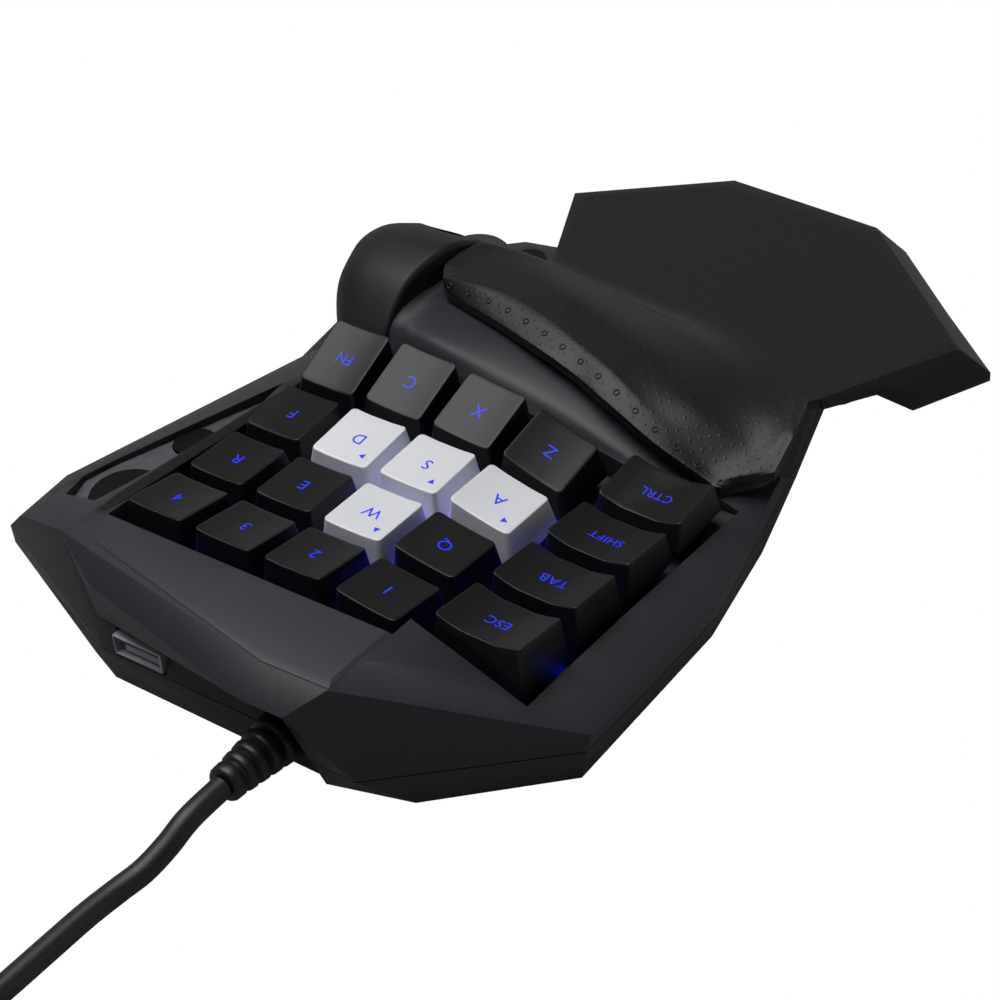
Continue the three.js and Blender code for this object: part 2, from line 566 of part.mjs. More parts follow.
function cap({ x, y, column, row, wide }) {
  const rise = wide ? wide_rises[row] : cap_rises[row][column];
  const tilt = degrees(wide ? wide_tilt_degrees[row] : cap_tilt_degrees[row][column]);
  const roll = degrees(wide ? wide_roll_degrees : cap_roll_degrees[row][column]);
  const [base, base_depth] = wide ? [wide_key_base, wide_key_base_depth] : [cap_base, cap_base];
  const [top, top_depth] = wide ? [wide_key_top, wide_key_top_depth] : [cap_top_width, cap_top_depth];
  const scoop = wide ? wide_key_scoop : cap_scoop;
  const drop = scoop + (wide ? wide_key_roof : cap_roof);
  const outside = hullOf([...ring(base, base_depth, cap_base_corner, -cap_skirt_drop, 0, 0),
    ...ring(top, top_depth, cap_corner, rise, tilt, roll)]);
  const share = (cap_skirt_drop + rise - drop) / (cap_skirt_drop + rise);
  const inside_width = base + (top - base) * share - 2 * cap_wall;
  const inside_depth = base_depth + (top_depth - base_depth) * share - 2 * cap_wall;
  const mouth = ring(base - 2 * cap_wall, base_depth - 2 * cap_wall, cap_base_corner, -cap_skirt_drop, 0, 0);
  const inside = join(hullOf([...mouth, ...ring(inside_width, inside_depth, cap_base_corner, rise - drop, tilt, roll)]),
    hullOf([...mouth, ...mouth.map((point) => point.clone().setZ(-cap_skirt_drop - overrun))]));
  const radius = (top * top / 4 + scoop * scoop) / (2 * scoop);
  const scoop_tool = toSolid(new THREE.CylinderGeometry(radius, radius, base * 2, scoop_sides));
  const scoop_place = new THREE.Matrix4().makeRotationFromEuler(new THREE.Euler(tilt, -roll, 0, 'YXZ'));
  scoop_place.setPosition(0, 0, rise);
  const lifted = placed(shifted(scoop_tool, 0, 0, radius - scoop), scoop_place);
  const stem = rod(stem_diameter / 2, stem_bottom, rise - drop + cap_roof / 2, 2 * Math.round(round_sides / 3));
  const body = join(outside.subtract(inside), stem).subtract(lifted);
  return placed(shifted(body, x, y, 0), field);
}

key_places.forEach((place) => {
  add(`key_${place.name}`, cap(place), pale_names.includes(place.name) ? cap_silver : cap_black);
});

// Thumb housing: a rounded hump with a thumb cove, and a shelf in front of the palm rest
const shelf_corners = shelf_shares.map(palm_at);
const shelf_rows = 5;
const shelf = [];
for (let start = 0; start + 2 * shelf_rows <= shelf_corners.length; start += shelf_rows) {
  shelf.push(hullOf(shelf_corners.slice(start, start + 2 * shelf_rows)));
}
const hump_points = [];
hump_shares.forEach(([y_share, width_share, height_share]) => {
  const top = height_share * body_height;
  const low = thumb_ledge_height;
  for (let step = 0; step <= hump_steps; step += 1) {
    const angle = Math.PI / 2 * step / hump_steps;
    const middle = hump_inner_share + hump_shoulder_share;
    const z = low + (top - low) * Math.sqrt(Math.sin(angle));
    const outward = (width_share - hump_shoulder_share) * Math.sqrt(Math.cos(angle));
    const inward = hump_shoulder_share * Math.sqrt(Math.cos(angle));
    hump_points.push(new THREE.Vector3((middle + outward) * body_width, y_share * body_depth, z));
    hump_points.push(new THREE.Vector3((middle - inward) * body_width, y_share * body_depth, z));
  }
});
const cove = shifted(rod(cove_radius, thumb_ledge_height, cove_height, fine_sides), stick.x, stick.y, 0);
const hump = hullOf(hump_points).subtract(cove);
const housing = join(hump, ...shelf).subtract(join(outer, shifted(outer, 0, 0, clearance))).subtract(well_opening);
add('thumb_housing', largest(housing), charcoal);

// Thumb stick on a gimbal
const stick_cap = turned([[0, stick_cap_low], [stick_cap_radius - clearance, stick_cap_low],
  [stick_cap_radius, stick_cap_low + stick_cap_dish], [stick_cap_radius, stick_cap_high - stick_cap_dish / 2],
  [stick_cap_radius - stick_cap_dish / 2, stick_cap_high], [0, stick_cap_high - stick_cap_dish]], fine_sides);
const stick_body = join(stick_cap, rod(stick_radius, stick_pivot_height, stick_cap_low + stick_cap_dish / 2),
  shifted(rod(stick_radius, -gimbal_inner / 2 + clearance, gimbal_inner / 2 - clearance).rotate([-90, 0, 0]), 0, 0,
    stick_pivot_height));
const stand = (solid) => shifted(solid, stick.x, stick.y, 0);
add('thumb_stick', stand(stick_body), rubber);
const trunnion = (radius) => shifted(rod(radius, -stick_base_outer / 2, stick_base_outer / 2).rotate([0, 90, 0]), 0, 0,
  stick_pivot_height);
add('stick_gimbal', stand(join(block(gimbal_outer, gimbal_outer, stick_pivot_height - gimbal_height / 2,
  stick_pivot_height + gimbal_height / 2), trunnion(trunnion_radius)).subtract(
  block(gimbal_inner, gimbal_inner, 0, body_height))), dark_shell);
add('stick_base', stand(block(stick_base_outer, stick_base_outer, stick_base_low, stick_base_high).subtract(
  block(stick_base_inner, stick_base_inner, stick_base_low + stick_base_floor, body_height)).subtract(
  trunnion(trunnion_radius + clearance))), dark_shell);
const ring_low = thumb_ledge_height + clearance;
add('stick_ring', stand(rod(stick_ring_radius, ring_low, ring_low + stick_ring_height, fine_sides).subtract(
  rod(stick_hole_radius, 0, body_height, fine_sides))), black_gloss);
add('thumb_button', shifted(rod(thumb_button_radius, thumb_ledge_height - thumb_button_depth,
  thumb_ledge_height + thumb_button_rise), thumb_button.x, thumb_button.y, 0), black_gloss);

// Palm rest: a rubber pad over a rigid carrier, both skinned from the same stations
const palm_rows = 8;
const stations = [];
for (let start = 0; start < palm_shares.length; start += palm_rows) {
  stations.push(palm_shares.slice(start, start + palm_rows).map(palm_at));
}

function skin(top, thickness, floor) {
  const rows = top.length;
  const columns = top[0].length;
  const under = top.map((line) => line.map((point) => new THREE.Vector3(point.x, point.y,
    Math.max(point.z - thickness, floor))));
  const points = [...top.flat(), ...under.flat()];
  const index = (row, column, side) => side * rows * columns + row * columns + column;
  const faces = [];
  const quad = (a, b, c, d) => faces.push(a, b, c, a, c, d);
  for (let row = 0; row + 1 < rows; row += 1) {
    for (let column = 0; column + 1 < columns; column += 1) {
      quad(index(row, column, 0), index(row, column + 1, 0), index(row + 1, column + 1, 0), index(row + 1, column, 0));
      quad(index(row, column, 1), index(row + 1, column, 1), index(row + 1, column + 1, 1), index(row, column + 1, 1));
    }
    quad(index(row, 0, 0), index(row + 1, 0, 0), index(row + 1, 0, 1), index(row, 0, 1));
    const last = columns - 1;
    quad(index(row, last, 0), index(row, last, 1), index(row + 1, last, 1), index(row + 1, last, 0));
  }
  for (let column = 0; column + 1 < columns; column += 1) {
    quad(index(0, column, 0), index(0, column, 1), index(0, column + 1, 1), index(0, column + 1, 0));
    const last = rows - 1;
    quad(index(last, column, 0), index(last, column + 1, 0), index(last, column + 1, 1), index(last, column, 1));
  }
  const geometry = new THREE.BufferGeometry();
  geometry.setAttribute('position', new THREE.BufferAttribute(new Float32Array(points.flatMap((p) => p.toArray())), 3));
  geometry.setIndex(faces);
  const solid = toSolid(geometry);
  if (solid.volume() > 0) return solid;
  geometry.index.array.reverse();
  return toSolid(geometry);
}

add('palm_pad', skin(stations, palm_thickness, 0), rubber);
const middle = palm_screw;
const carrier_top = stations.slice(0, stations.length - 1).map((line) => line.slice(2, palm_rows - 1).map(
  (point, row, list) => {
    const inset = row + 1 === list.length ? carrier_inset_share : 0;
    return new THREE.Vector3(point.x + (middle.x - point.x) * inset, point.y + (middle.y - point.y) * inset,
      point.z - palm_thickness - palm_gap);
  }));
const carrier = skin(carrier_top, carrier_thickness, carrier_height);
const screw_top = carrier_height + carrier_thickness / 2;
const screw_hole = shifted(rod(screw_shaft_radius + clearance, 0, screw_top + clearance), middle.x, middle.y, 0);
add('palm_carrier', carrier.subtract(screw_hole), dark_shell);
const head_top = seam_height * 2 - screw_head_drop;
add('palm_screw', shifted(turned([[0, head_top - screw_head_height], [screw_head_radius, head_top - screw_head_height],
  [screw_head_radius, head_top], [screw_shaft_radius, head_top], [screw_shaft_radius, screw_top], [0, screw_top]],
round_sides), middle.x, middle.y, 0), steel);

// USB socket: a folded metal cup with its tongue
const cup_back = socket.y - socket_recess - socket_depth;
const cup_outer = block(socket_width, socket_depth, socket_level - socket_height / 2, socket_level + socket_height / 2);
const cup_inner = shifted(block(socket_width - 2 * socket_sheet, socket_depth, socket_level - socket_height / 2 + socket_sheet,
  socket_level + socket_height / 2 - socket_sheet), 0, socket_sheet, 0);
add('usb_shell', shifted(cup_outer.subtract(cup_inner), socket.x, cup_back + socket_depth / 2, 0), bright_metal);
const tongue_length = socket_depth - socket_sheet - clearance - tongue_setback;
add('usb_tongue', shifted(block(tongue_width, tongue_length, socket_level + tongue_rise - tongue_thickness,
  socket_level + tongue_rise), socket.x, cup_back + socket_sheet + clearance + tongue_length / 2, 0), black_gloss);

// Strain relief: a tapered sleeve with ribs
const relief_profile = [[0, -relief_inner], [relief_root / 2, -relief_inner]];
for (let index = 0; index < relief_ring_count; index += 1) {
  const from = relief_length * index / relief_ring_count;
  const step = relief_length / relief_ring_count;
  const radius = (height) => (relief_root + (relief_tip - relief_root) * height / relief_length) / 2;
  relief_profile.push([radius(from), from], [radius(from), from + step * rib_share]);
  if (index + 1 < relief_ring_count) {
    relief_profile.push([radius(from) - relief_groove, from + step * rib_share + clearance]);
    relief_profile.push([radius(from) - relief_groove, from + step - clearance]);
  }
}
relief_profile.push([relief_tip / 2, relief_length], [0, relief_length]);
add('strain_relief', shifted(turned(relief_profile, round_sides).rotate([-90, 0, 0]), relief.x, relief.y, relief_level), rubber);

// Cable: the free run, the coil of the put-away length with its tie, and the plug
function tube(points, radius, sides, steps) {
  const curve = new THREE.CatmullRomCurve3(points, false, 'centripetal');
  const shape = new THREE.Shape();
  for (let index = 0; index < sides; index += 1) {
    const angle = 2 * Math.PI * (index + 1 / 2) / sides;
    const spot = [radius * Math.cos(angle), radius * Math.sin(angle)];
    if (index === 0) shape.moveTo(...spot);
    else shape.lineTo(...spot);
  }
  shape.closePath();
  return toSolid(new THREE.ExtrudeGeometry(shape, { steps, extrudePath: curve, bevelEnabled: false }));
}

const cord_radius = cord_diameter / 2;
const cord_route = cord_route_shares.map(at);
cord_route[0].y = relief.y + relief_length + clearance;
add('cable_lead', tube(cord_route, cord_radius, cord_sides, cord_steps), rubber);

const coil_level = cord_route[cord_route.length - 1].z;
const coil_start = cord_route[cord_route.length - 1].clone();
coil_start.y += clearance;
const coil_center = new THREE.Vector3(coil_start.x + coil_radius, coil_start.y + coil_lead, 0);
const coil_points = [coil_start.clone(), coil_start.clone().setY(coil_start.y + cord_diameter)];
const turn_step = 2 * Math.PI / coil_steps_per_turn;
const layer_steps = Math.round(coil_turn_count * coil_steps_per_turn);
const half_steps = coil_steps_per_turn / 2;
const smooth = (share) => share * share * (3 - 2 * share);
let walked = 0;
let layer_start = coil_radius;
let height = coil_level;
let smallest = coil_radius;
let largest_radius = coil_radius;
const lay = (radius, z) => {
  const angle = walked * turn_step;
  coil_points.push(new THREE.Vector3(coil_center.x - radius * Math.cos(angle), coil_center.y + radius * Math.sin(angle), z));
  smallest = Math.min(smallest, radius);
  largest_radius = Math.max(largest_radius, radius);
  walked += 1;
};
lay(layer_start, height);
for (let layer = 0; layer < coil_layer_count; layer += 1) {
  const sense = layer % 2 === 0 ? -1 : 1;
  let radius = layer_start;
  for (let index = 1; index <= layer_steps; index += 1) {
    const whole = Math.floor(index / coil_steps_per_turn);
    const part = index / coil_steps_per_turn - whole;
    const grown = layer === 0 ? whole + part : whole + smooth(Math.min(1, part / coil_reach_share));
    radius = layer_start + sense * coil_pitch * grown;
    lay(radius, height);
  }
  if (layer + 1 < coil_layer_count) {
    for (let index = 1; index <= half_steps; index += 1) {
      const share = index / half_steps;
      lay(radius + sense * coil_pitch * coil_drift_share * share, height + coil_layer_rise * smooth(share));
    }
    layer_start = radius + sense * coil_pitch * coil_drift_share;
    height += coil_layer_rise;
  }
}
const last_angle = (walked - 1) * turn_step;
const leaving = coil_points[coil_points.length - 1];
const heading = new THREE.Vector3(Math.sin(last_angle), Math.cos(last_angle), 0);
const grip_level = plug_grip_height / 2;
tail_shares.forEach(([run, fall]) => {
  const point = leaving.clone().addScaledVector(heading, coil_tail * run);
  point.z += (grip_level - point.z) * fall;
  coil_points.push(point);
});
const coil_end = coil_points[coil_points.length - 1];
const coil_steps = Math.round(coil_points.length * coil_finer_share);
add('cable_coil', tube(coil_points, cord_radius, coil_sides, coil_steps), rubber);

// Least distance between turns of the coil, centre to centre, less the diameter
const samples = new THREE.CatmullRomCurve3(coil_points, false, 'centripetal').getSpacedPoints(coil_steps * 2);
const spacing = samples[0].distanceTo(samples[1]);
const skip = Math.ceil(4 * cord_diameter / spacing);
let least = body_width;
for (let a = 0; a < samples.length; a += 1) {
  for (let b = a + skip; b < samples.length; b += 1) {
    least = Math.min(least, samples[a].distanceTo(samples[b]));
  }
}
console.log('coil gap mm', (least - cord_diameter).toFixed(2), 'coil length mm', (spacing * samples.length).toFixed(0));

// Tie round the bundle on the side away from the keypad
const bundle_low = coil_level - cord_radius - tie_slack;
const bundle_high = height + cord_radius + tie_slack;
const bundle_inner = smallest - cord_radius - tie_slack;
const bundle_outer = largest_radius + cord_radius + tie_slack;
const tie_block = (grow) => block(bundle_outer - bundle_inner + 2 * grow, tie_width + (grow > 0 ? 0 : overrun),
  bundle_low - grow, bundle_high + grow);
const tie = tie_block(tie_thickness).subtract(tie_block(0));
add('coil_tie', shifted(tie, (bundle_outer + bundle_inner) / 2, 0, 0).translate([coil_center.x, coil_center.y, 0]), black_gloss);

const plug_turn = new THREE.Matrix4().makeRotationZ(-Math.atan2(heading.x, heading.y));
const grip_face = clearance;
const alongY = (solid) => placed(solid, plug_turn).translate([coil_end.x, coil_end.y, 0]);
const grip = hullOf([...[0, plug_grip_length].flatMap((y) => ring(plug_grip_width, plug_grip_height, plug_grip_corner, 0, 0, 0)
  .map((point) => new THREE.Vector3(point.x * (y > 0 ? 1 : grip_taper_share), y + grip_face, point.y + grip_level)))]);
add('plug_overmould', alongY(grip), rubber);
const plug_from = grip_face + plug_grip_length + clearance;
const plug_shell = shifted(block(plug_width, plug_length, grip_level - plug_height / 2, grip_level + plug_height / 2), 0,
  plug_from + plug_length / 2, 0);
const plug_hollow = shifted(block(plug_width - 2 * plug_sheet, plug_length, grip_level - plug_height / 2 + plug_sheet,
  grip_level + plug_height / 2 - plug_sheet), 0, plug_from + plug_length / 2 + plug_sheet * 3, 0);
add('usb_plug', alongY(plug_shell.subtract(plug_hollow)), bright_metal);
cord_names.push('cable_lead', 'cable_coil', 'coil_tie', 'plug_overmould', 'usb_plug', 'strain_relief');

// Feet and case screws
feet.forEach(({ x, y }, index) => {
  add(`foot_${index + 1}`, shifted(rod(foot_radius, 0, foot_thickness), x, y, 0), rubber);
});
posts.forEach(({ x, y }, index) => {
  const head_low = counterbore_depth - case_screw_head_height - clearance;
  add(`case_screw_${index + 1}`, shifted(turned([[0, head_low], [case_screw_head, head_low],
    [case_screw_head, head_low + case_screw_head_height], [case_screw_radius, head_low + case_screw_head_height],
    [case_screw_radius, head_low + case_screw_length], [0, head_low + case_screw_length]], round_sides), x, y, 0), steel);
});

// The origin moves to the middle of the underside of everything but the cable
const bounds = new THREE.Box3();
group.children.filter((mesh) => !cord_names.includes(mesh.name)).forEach((mesh) => bounds.expandByObject(mesh));
const center = bounds.getCenter(new THREE.Vector3());
group.children.forEach((mesh) => mesh.geometry.translate(-center.x, -center.y, -bounds.min.z));
console.log('shift mm', (-center.x).toFixed(4), (-center.y).toFixed(4), (-bounds.min.z).toFixed(4));
console.log('pieces', group.children.length, 'triangles',
  group.children.reduce((sum, mesh) => sum + mesh.geometry.attributes.position.count / 3, 0));

export default group;
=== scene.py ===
"""Gaming keypad: the visual model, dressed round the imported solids."""
import math

import bmesh
import bpy
import numpy as np
from mathutils import Matrix, Vector


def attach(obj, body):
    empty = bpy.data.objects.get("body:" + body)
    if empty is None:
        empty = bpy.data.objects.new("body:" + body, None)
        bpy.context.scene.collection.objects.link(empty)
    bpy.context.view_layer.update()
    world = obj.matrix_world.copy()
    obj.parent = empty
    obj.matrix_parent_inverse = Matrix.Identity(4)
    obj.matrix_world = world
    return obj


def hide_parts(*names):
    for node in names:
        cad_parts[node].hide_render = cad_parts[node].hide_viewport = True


bl_info = {
    "name": "Gaming keypad",
    "version": (1, 0, 0),
    "blender": (4, 5, 0),
    "location": "View3D > Sidebar > Keypad",
    "description": "Keys, housing, palm rest, cable and stage of a left-hand gaming keypad",
    "category": "Object",
}

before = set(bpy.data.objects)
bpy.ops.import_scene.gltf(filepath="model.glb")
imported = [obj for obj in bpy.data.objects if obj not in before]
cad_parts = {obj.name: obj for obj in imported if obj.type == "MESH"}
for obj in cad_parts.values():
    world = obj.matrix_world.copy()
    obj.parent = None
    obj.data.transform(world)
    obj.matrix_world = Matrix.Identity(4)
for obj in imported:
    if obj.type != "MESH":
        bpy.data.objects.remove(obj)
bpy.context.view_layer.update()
MM = 0.001
SHIFT = np.array([11.9025, 43.15, 0.0])  # where the middle of the keys lies, in mm


# Shader maths
class Nodes:
    """A node tree that is filled by short calls."""

    def __init__(self, name, world=False):
        self.material = (bpy.data.worlds if world else bpy.data.materials).new(name)
        self.material.use_nodes = True
        self.tree = self.material.node_tree
        self.tree.nodes.clear()
        self.out = self.tree.nodes.new("ShaderNodeOutputWorld" if world else "ShaderNodeOutputMaterial")

    def add(self, kind, settings=None, output=0, **values):
        """Adds a node, sets its settings, then its sockets' values or links, and gives an output back."""
        node = self.tree.nodes.new(kind)
        for key, value in (settings or {}).items():
            if key == "stops":
                ramp = node.color_ramp
                while len(ramp.elements) > len(value):
                    ramp.elements.remove(ramp.elements[-1])
                while len(ramp.elements) < len(value):
                    ramp.elements.new(1.0)
                for element, (place, colour) in zip(ramp.elements, value):
                    element.position = place
                    element.color = tuple(colour) + (1.0,) * (4 - len(colour))
            else:
                setattr(node, key, value)
        for key, value in values.items():
            socket = node.inputs[int(key[1:])] if key[1:].isdigit() else node.inputs[key.replace("_", " ")]
            if isinstance(value, Socket):
                self.tree.links.new(value.socket, socket)
            else:
                socket.default_value = value
        return Socket(self, node.outputs[output])

    def finish(self, shader):
        self.tree.links.new(shader.socket, self.out.inputs["Surface"])
        return self.material


class Socket:
    """An output socket on which sums can be written."""

    def __init__(self, nodes, socket):
        self.nodes = nodes
        self.socket = socket

    def maths(self, operation, other=None, swapped=False, clamp=False):
        pair = (other, self) if swapped else (self, other)
        values = {f"_{index}": value for index, value in enumerate(pair) if value is not None}
        return self.nodes.add("ShaderNodeMath", {"operation": operation, "use_clamp": clamp}, **values)

    def __add__(self, other):
        return self.maths("ADD", other)

    def __radd__(self, other):
        return self.maths("ADD", other, True)

    def __sub__(self, other):
        return self.maths("SUBTRACT", other)

    def __rsub__(self, other):
        return self.maths("SUBTRACT", other, True)

    def __mul__(self, other):
        return self.maths("MULTIPLY", other)

    def __rmul__(self, other):
        return self.maths("MULTIPLY", other, True)

    def __truediv__(self, other):
        return self.maths("DIVIDE", other)

    def __pow__(self, other):
        return self.maths("POWER", other)

    def fraction(self):
        return self.maths("FRACT")

    def absolute(self):
        return self.maths("ABSOLUTE")

    def clamp(self):
        return self.maths("ADD", 0.0, clamp=True)

    def parts(self):
        """The three numbers of a vector."""
        node = self.nodes.tree.nodes.new("ShaderNodeSeparateXYZ")
        self.nodes.tree.links.new(self.socket, node.inputs[0])
        return [Socket(self.nodes, output) for output in node.outputs]


def mix(nodes, factor, first, second):
    """Blends two colours."""
    node = nodes.tree.nodes.new("ShaderNodeMix")
    node.data_type = "RGBA"
    for name, value in (("Factor", factor), ("A", first), ("B", second)):
        kind = "VALUE" if name == "Factor" else "RGBA"
        socket = next(s for s in node.inputs if s.name == name and s.type == kind)
        if isinstance(value, Socket):
            nodes.tree.links.new(value.socket, socket)
        else:
            socket.default_value = value if name == "Factor" else tuple(value)[:3] + (1.0,)
    return Socket(nodes, next(s for s in node.outputs if s.type == "RGBA"))


def linear(red, green, blue):
    """A screen colour, 0 to 255, as linear light."""
    value = np.array([red, green, blue]) / 255.0
    light = np.where(value <= 0.04045, value / 12.92, ((value + 0.055) / 1.055) ** 2.4)
    return tuple(float(part) for part in light)


def principled(nodes, **values):
    """The surface shader with its sockets' values or links."""
    node = nodes.tree.nodes.new("ShaderNodeBsdfPrincipled")
    for key, value in values.items():
        socket = node.inputs[key.replace("_", " ")]
        if isinstance(value, Socket):
            nodes.tree.links.new(value.socket, socket)
        elif socket.type == "RGBA":
            socket.default_value = tuple(value)[:3] + (1.0,)
        else:
            socket.default_value = value
    return Socket(nodes, node.outputs[0])


def place_of(nodes, scale=1.0):
    """Object coordinates times a scale."""
    spot = nodes.add("ShaderNodeTexCoord", output=3)
    return nodes.add("ShaderNodeVectorMath", {"operation": "SCALE"}, _0=spot, Scale=scale)


BAND_INNER, BAND_OUTER = 46.0, 48.75  # the band of painted shade, measured square to the strip's outer edge
BAND_FRONT, BAND_BACK, BAND_FLOOR = -26.0, 34.0, 22.6
BAND_SHADE, LINE_SHADE, LINES_PER_MM = 0.3, 0.65, 1.25
RIM_X, RIM_SLANT, RIM_HALF, RIM_SHADE = 40.1, 0.046, 1.9, 0.6


def strip_painted_shade(nodes):
    """How dark the shell is made round the strip: a band of painted shade along its outer edge, standing in
    for a recess wall and the gap beside the strip, with darker lines along it, and a dark rim by the keys.
    Each mask is a product of clamped ramps."""
    x, y, z = (part - float(shift) for part, shift in zip(place_of(nodes, 1000.0).parts(), SHIFT))
    out = x * 0.935 - y * 0.356
    # painted shade along the strip's outer edge, where a recess wall and its gap would lie in shade
    beside = ((out - BAND_INNER) * 4.0).clamp() * ((BAND_OUTER - out) * 8.0).clamp()
    beside = beside * ((BAND_BACK - y) * 2.0).clamp() * ((y - BAND_FRONT) * 0.5).clamp()
    beside = beside * ((z - BAND_FLOOR) * 4.0).clamp()
    lines = (0.5 - ((out * LINES_PER_MM).fraction() - 0.5).absolute() * 1.6).clamp() * 2.0
    rim = (RIM_HALF - (x - y * RIM_SLANT - RIM_X).absolute()).clamp()
    rim = rim * ((40.5 - y) * 2.0).clamp() * ((y + 24.0) * 0.5).clamp()
    return (1.0 - beside * (BAND_SHADE + lines * LINE_SHADE)) * (1.0 - rim * RIM_SHADE)


def grained(name, colour, roughness=0.5, grain=2600.0, depth=0.05, variation=0.08, painted_shade=None, **more):
    """Moulded plastic or rubber: a fine grain in the bump, a faint cloud in the colour and the roughness,
    and, where given, a painted shade that darkens the colour.
    """
    nodes = Nodes(name)
    spot = place_of(nodes)
    fine = nodes.add("ShaderNodeTexNoise", Vector=spot, Scale=grain, Detail=2.0, Roughness=0.6)
    cloud = nodes.add("ShaderNodeTexNoise", Vector=spot, Scale=35.0, Detail=3.0)
    shade = cloud * (2 * variation) + (1 - variation)
    # painted shade, when given, darkens the colour
    if painted_shade:
        shade = shade * painted_shade(nodes)
    tone = nodes.add("ShaderNodeVectorMath", {"operation": "SCALE"}, _0=tuple(colour), Scale=shade)
    bump = nodes.add("ShaderNodeBump", Strength=1.0, Distance=depth * MM, Height=fine)
    rough = cloud * 0.08 + (roughness - 0.04)
    return nodes.finish(principled(nodes, Base_Color=tone, Roughness=rough, Normal=bump, **more))


def lit(name, colour, strength, shade):
    """A plain lit plastic, its own colour a share of its light's."""
    nodes = Nodes(name)
    body = tuple(shade * part for part in tuple(colour)[:3])
    cloud = nodes.add("ShaderNodeTexNoise", Vector=place_of(nodes), Scale=60.0, Detail=1.0)
    rough = cloud * 0.1 + 0.45
    return nodes.finish(principled(nodes, Base_Color=body, Roughness=rough, Emission_Color=colour,
                                   Emission_Strength=strength))


def dotted(name, colour, light):
    """Moulded rubber with staggered rows of fine raised dots over a fine grain: a dot falls off evenly
    with the distance from its middle."""
    nodes = Nodes(name)
    spot = place_of(nodes, 1000.0)
    x, y, _ = spot.parts()
    pitch, reach = 3.2, 0.42
    row = y / (pitch * 0.5)
    odd = row.maths("FLOOR").maths("MODULO", 2.0)
    across = (x / pitch + odd * 0.5).fraction() - 0.5
    along = row.fraction() - 0.5
    away = ((across * pitch) ** 2.0 + (along * (pitch * 0.5)) ** 2.0) ** 0.5
    dot = (1.0 - away / reach).clamp()
    fine = nodes.add("ShaderNodeTexNoise", Vector=spot, Scale=1.5, Detail=2.0)
    height = dot * 1.2 + fine * 0.35
    bump = nodes.add("ShaderNodeBump", Strength=1.0, Distance=0.05 * MM, Height=height)
    tone = mix(nodes, dot * 0.5, colour, light)
    return nodes.finish(principled(nodes, Base_Color=tone, Roughness=fine * 0.08 + 0.4,
                                   Specular_IOR_Level=0.36, Normal=bump))


def brushed(name, colour):
    """Brushed metal foil: long slanting scratches in the tone, the roughness and the bump."""
    nodes = Nodes(name)
    spot = place_of(nodes, 1000.0)
    turned = nodes.add("ShaderNodeVectorRotate", {"rotation_type": "Z_AXIS"}, Vector=spot,
                       Angle=math.radians(21.0))
    drawn = nodes.add("ShaderNodeVectorMath", {"operation": "MULTIPLY"}, _0=turned, _1=(5.0, 0.22, 1.0))
    streak = nodes.add("ShaderNodeTexNoise", Vector=drawn, Scale=1.0, Detail=4.0, Roughness=0.7)
    shade = streak * 1.6 + 0.2
    tone = nodes.add("ShaderNodeVectorMath", {"operation": "SCALE"}, _0=tuple(colour), Scale=shade)
    bump = nodes.add("ShaderNodeBump", Strength=0.6, Distance=0.03 * MM, Height=streak)
    return nodes.finish(principled(nodes, Base_Color=tone, Roughness=streak * 0.3 + 0.22, Metallic=0.6,
                                   Normal=bump))


# Meshes
def in_scene(name, data):
    """A new object in the scene."""
    item = bpy.data.objects.new(name, data)
    bpy.context.scene.collection.objects.link(item)
    return item


def worked_out(item):
    """An object's mesh after its modifiers, or of its letters."""
    bpy.context.view_layer.update()
    return bpy.data.meshes.new_from_object(item.evaluated_get(bpy.context.evaluated_depsgraph_get()))


def finish_piece(name, body, material, mesh, sharp=None):
    """A piece of a body with its material, shaded smooth under the angle sharp, or flat."""
    piece = in_scene(name, mesh)
    mesh.materials.clear()
    mesh.materials.append(material)
    if sharp:
        mesh.shade_smooth()
        mesh.set_sharp_from_angle(angle=math.radians(sharp))
    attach(piece, body)
    return piece


def grid_faces(rows, columns, wrap_rows=False, wrap_columns=False):
    """Quads of a grid of points, row by row."""
    row = np.arange(rows if wrap_rows else rows - 1)[:, None]
    column = np.arange(columns if wrap_columns else columns - 1)[None, :]
    a = row * columns + column
    b = row * columns + (column + 1) % columns
    c = (row + 1) % rows * columns + (column + 1) % columns
    d = (row + 1) % rows * columns + column
    return np.stack([a, b, c, d], -1).reshape(-1, 4)


def tube_faces(rows, columns):
    """Quads of rings, row by row, and a face over the first and the last."""
    last = (rows - 1) * columns
    return list(grid_faces(rows, columns, wrap_columns=True)) + [range(columns), range(last, last + columns)]


def round_angles(count):
    """Even angles of a full turn."""
    return np.arange(count) * 2 * np.pi / count


def opened(mesh):
    """A mesh's shape, open for edits."""
    shape = bmesh.new()
    shape.from_mesh(mesh)
    return shape


def closed(shape, mesh):
    """The mesh with the edited shape."""
    shape.to_mesh(mesh)
    shape.free()
    return mesh


def sharp_edges(shape, degrees):
    return [e for e in shape.edges if len(e.link_faces) == 2 and e.calc_face_angle() > math.radians(degrees)]


def merged(points, faces, name, distance=0.00002):
    """A mesh with its doubles merged and its faces turned outward."""
    mesh = bpy.data.meshes.new(name)
    mesh.from_pydata((np.asarray(points) * MM).tolist(), [], [list(map(int, face)) for face in faces])
    shape = opened(mesh)
    bmesh.ops.remove_doubles(shape, verts=shape.verts, dist=distance)
    bmesh.ops.dissolve_degenerate(shape, dist=distance / 4, edges=shape.edges)
    bmesh.ops.recalc_face_normals(shape, faces=shape.faces)
    closed(shape, mesh).update()
    return mesh


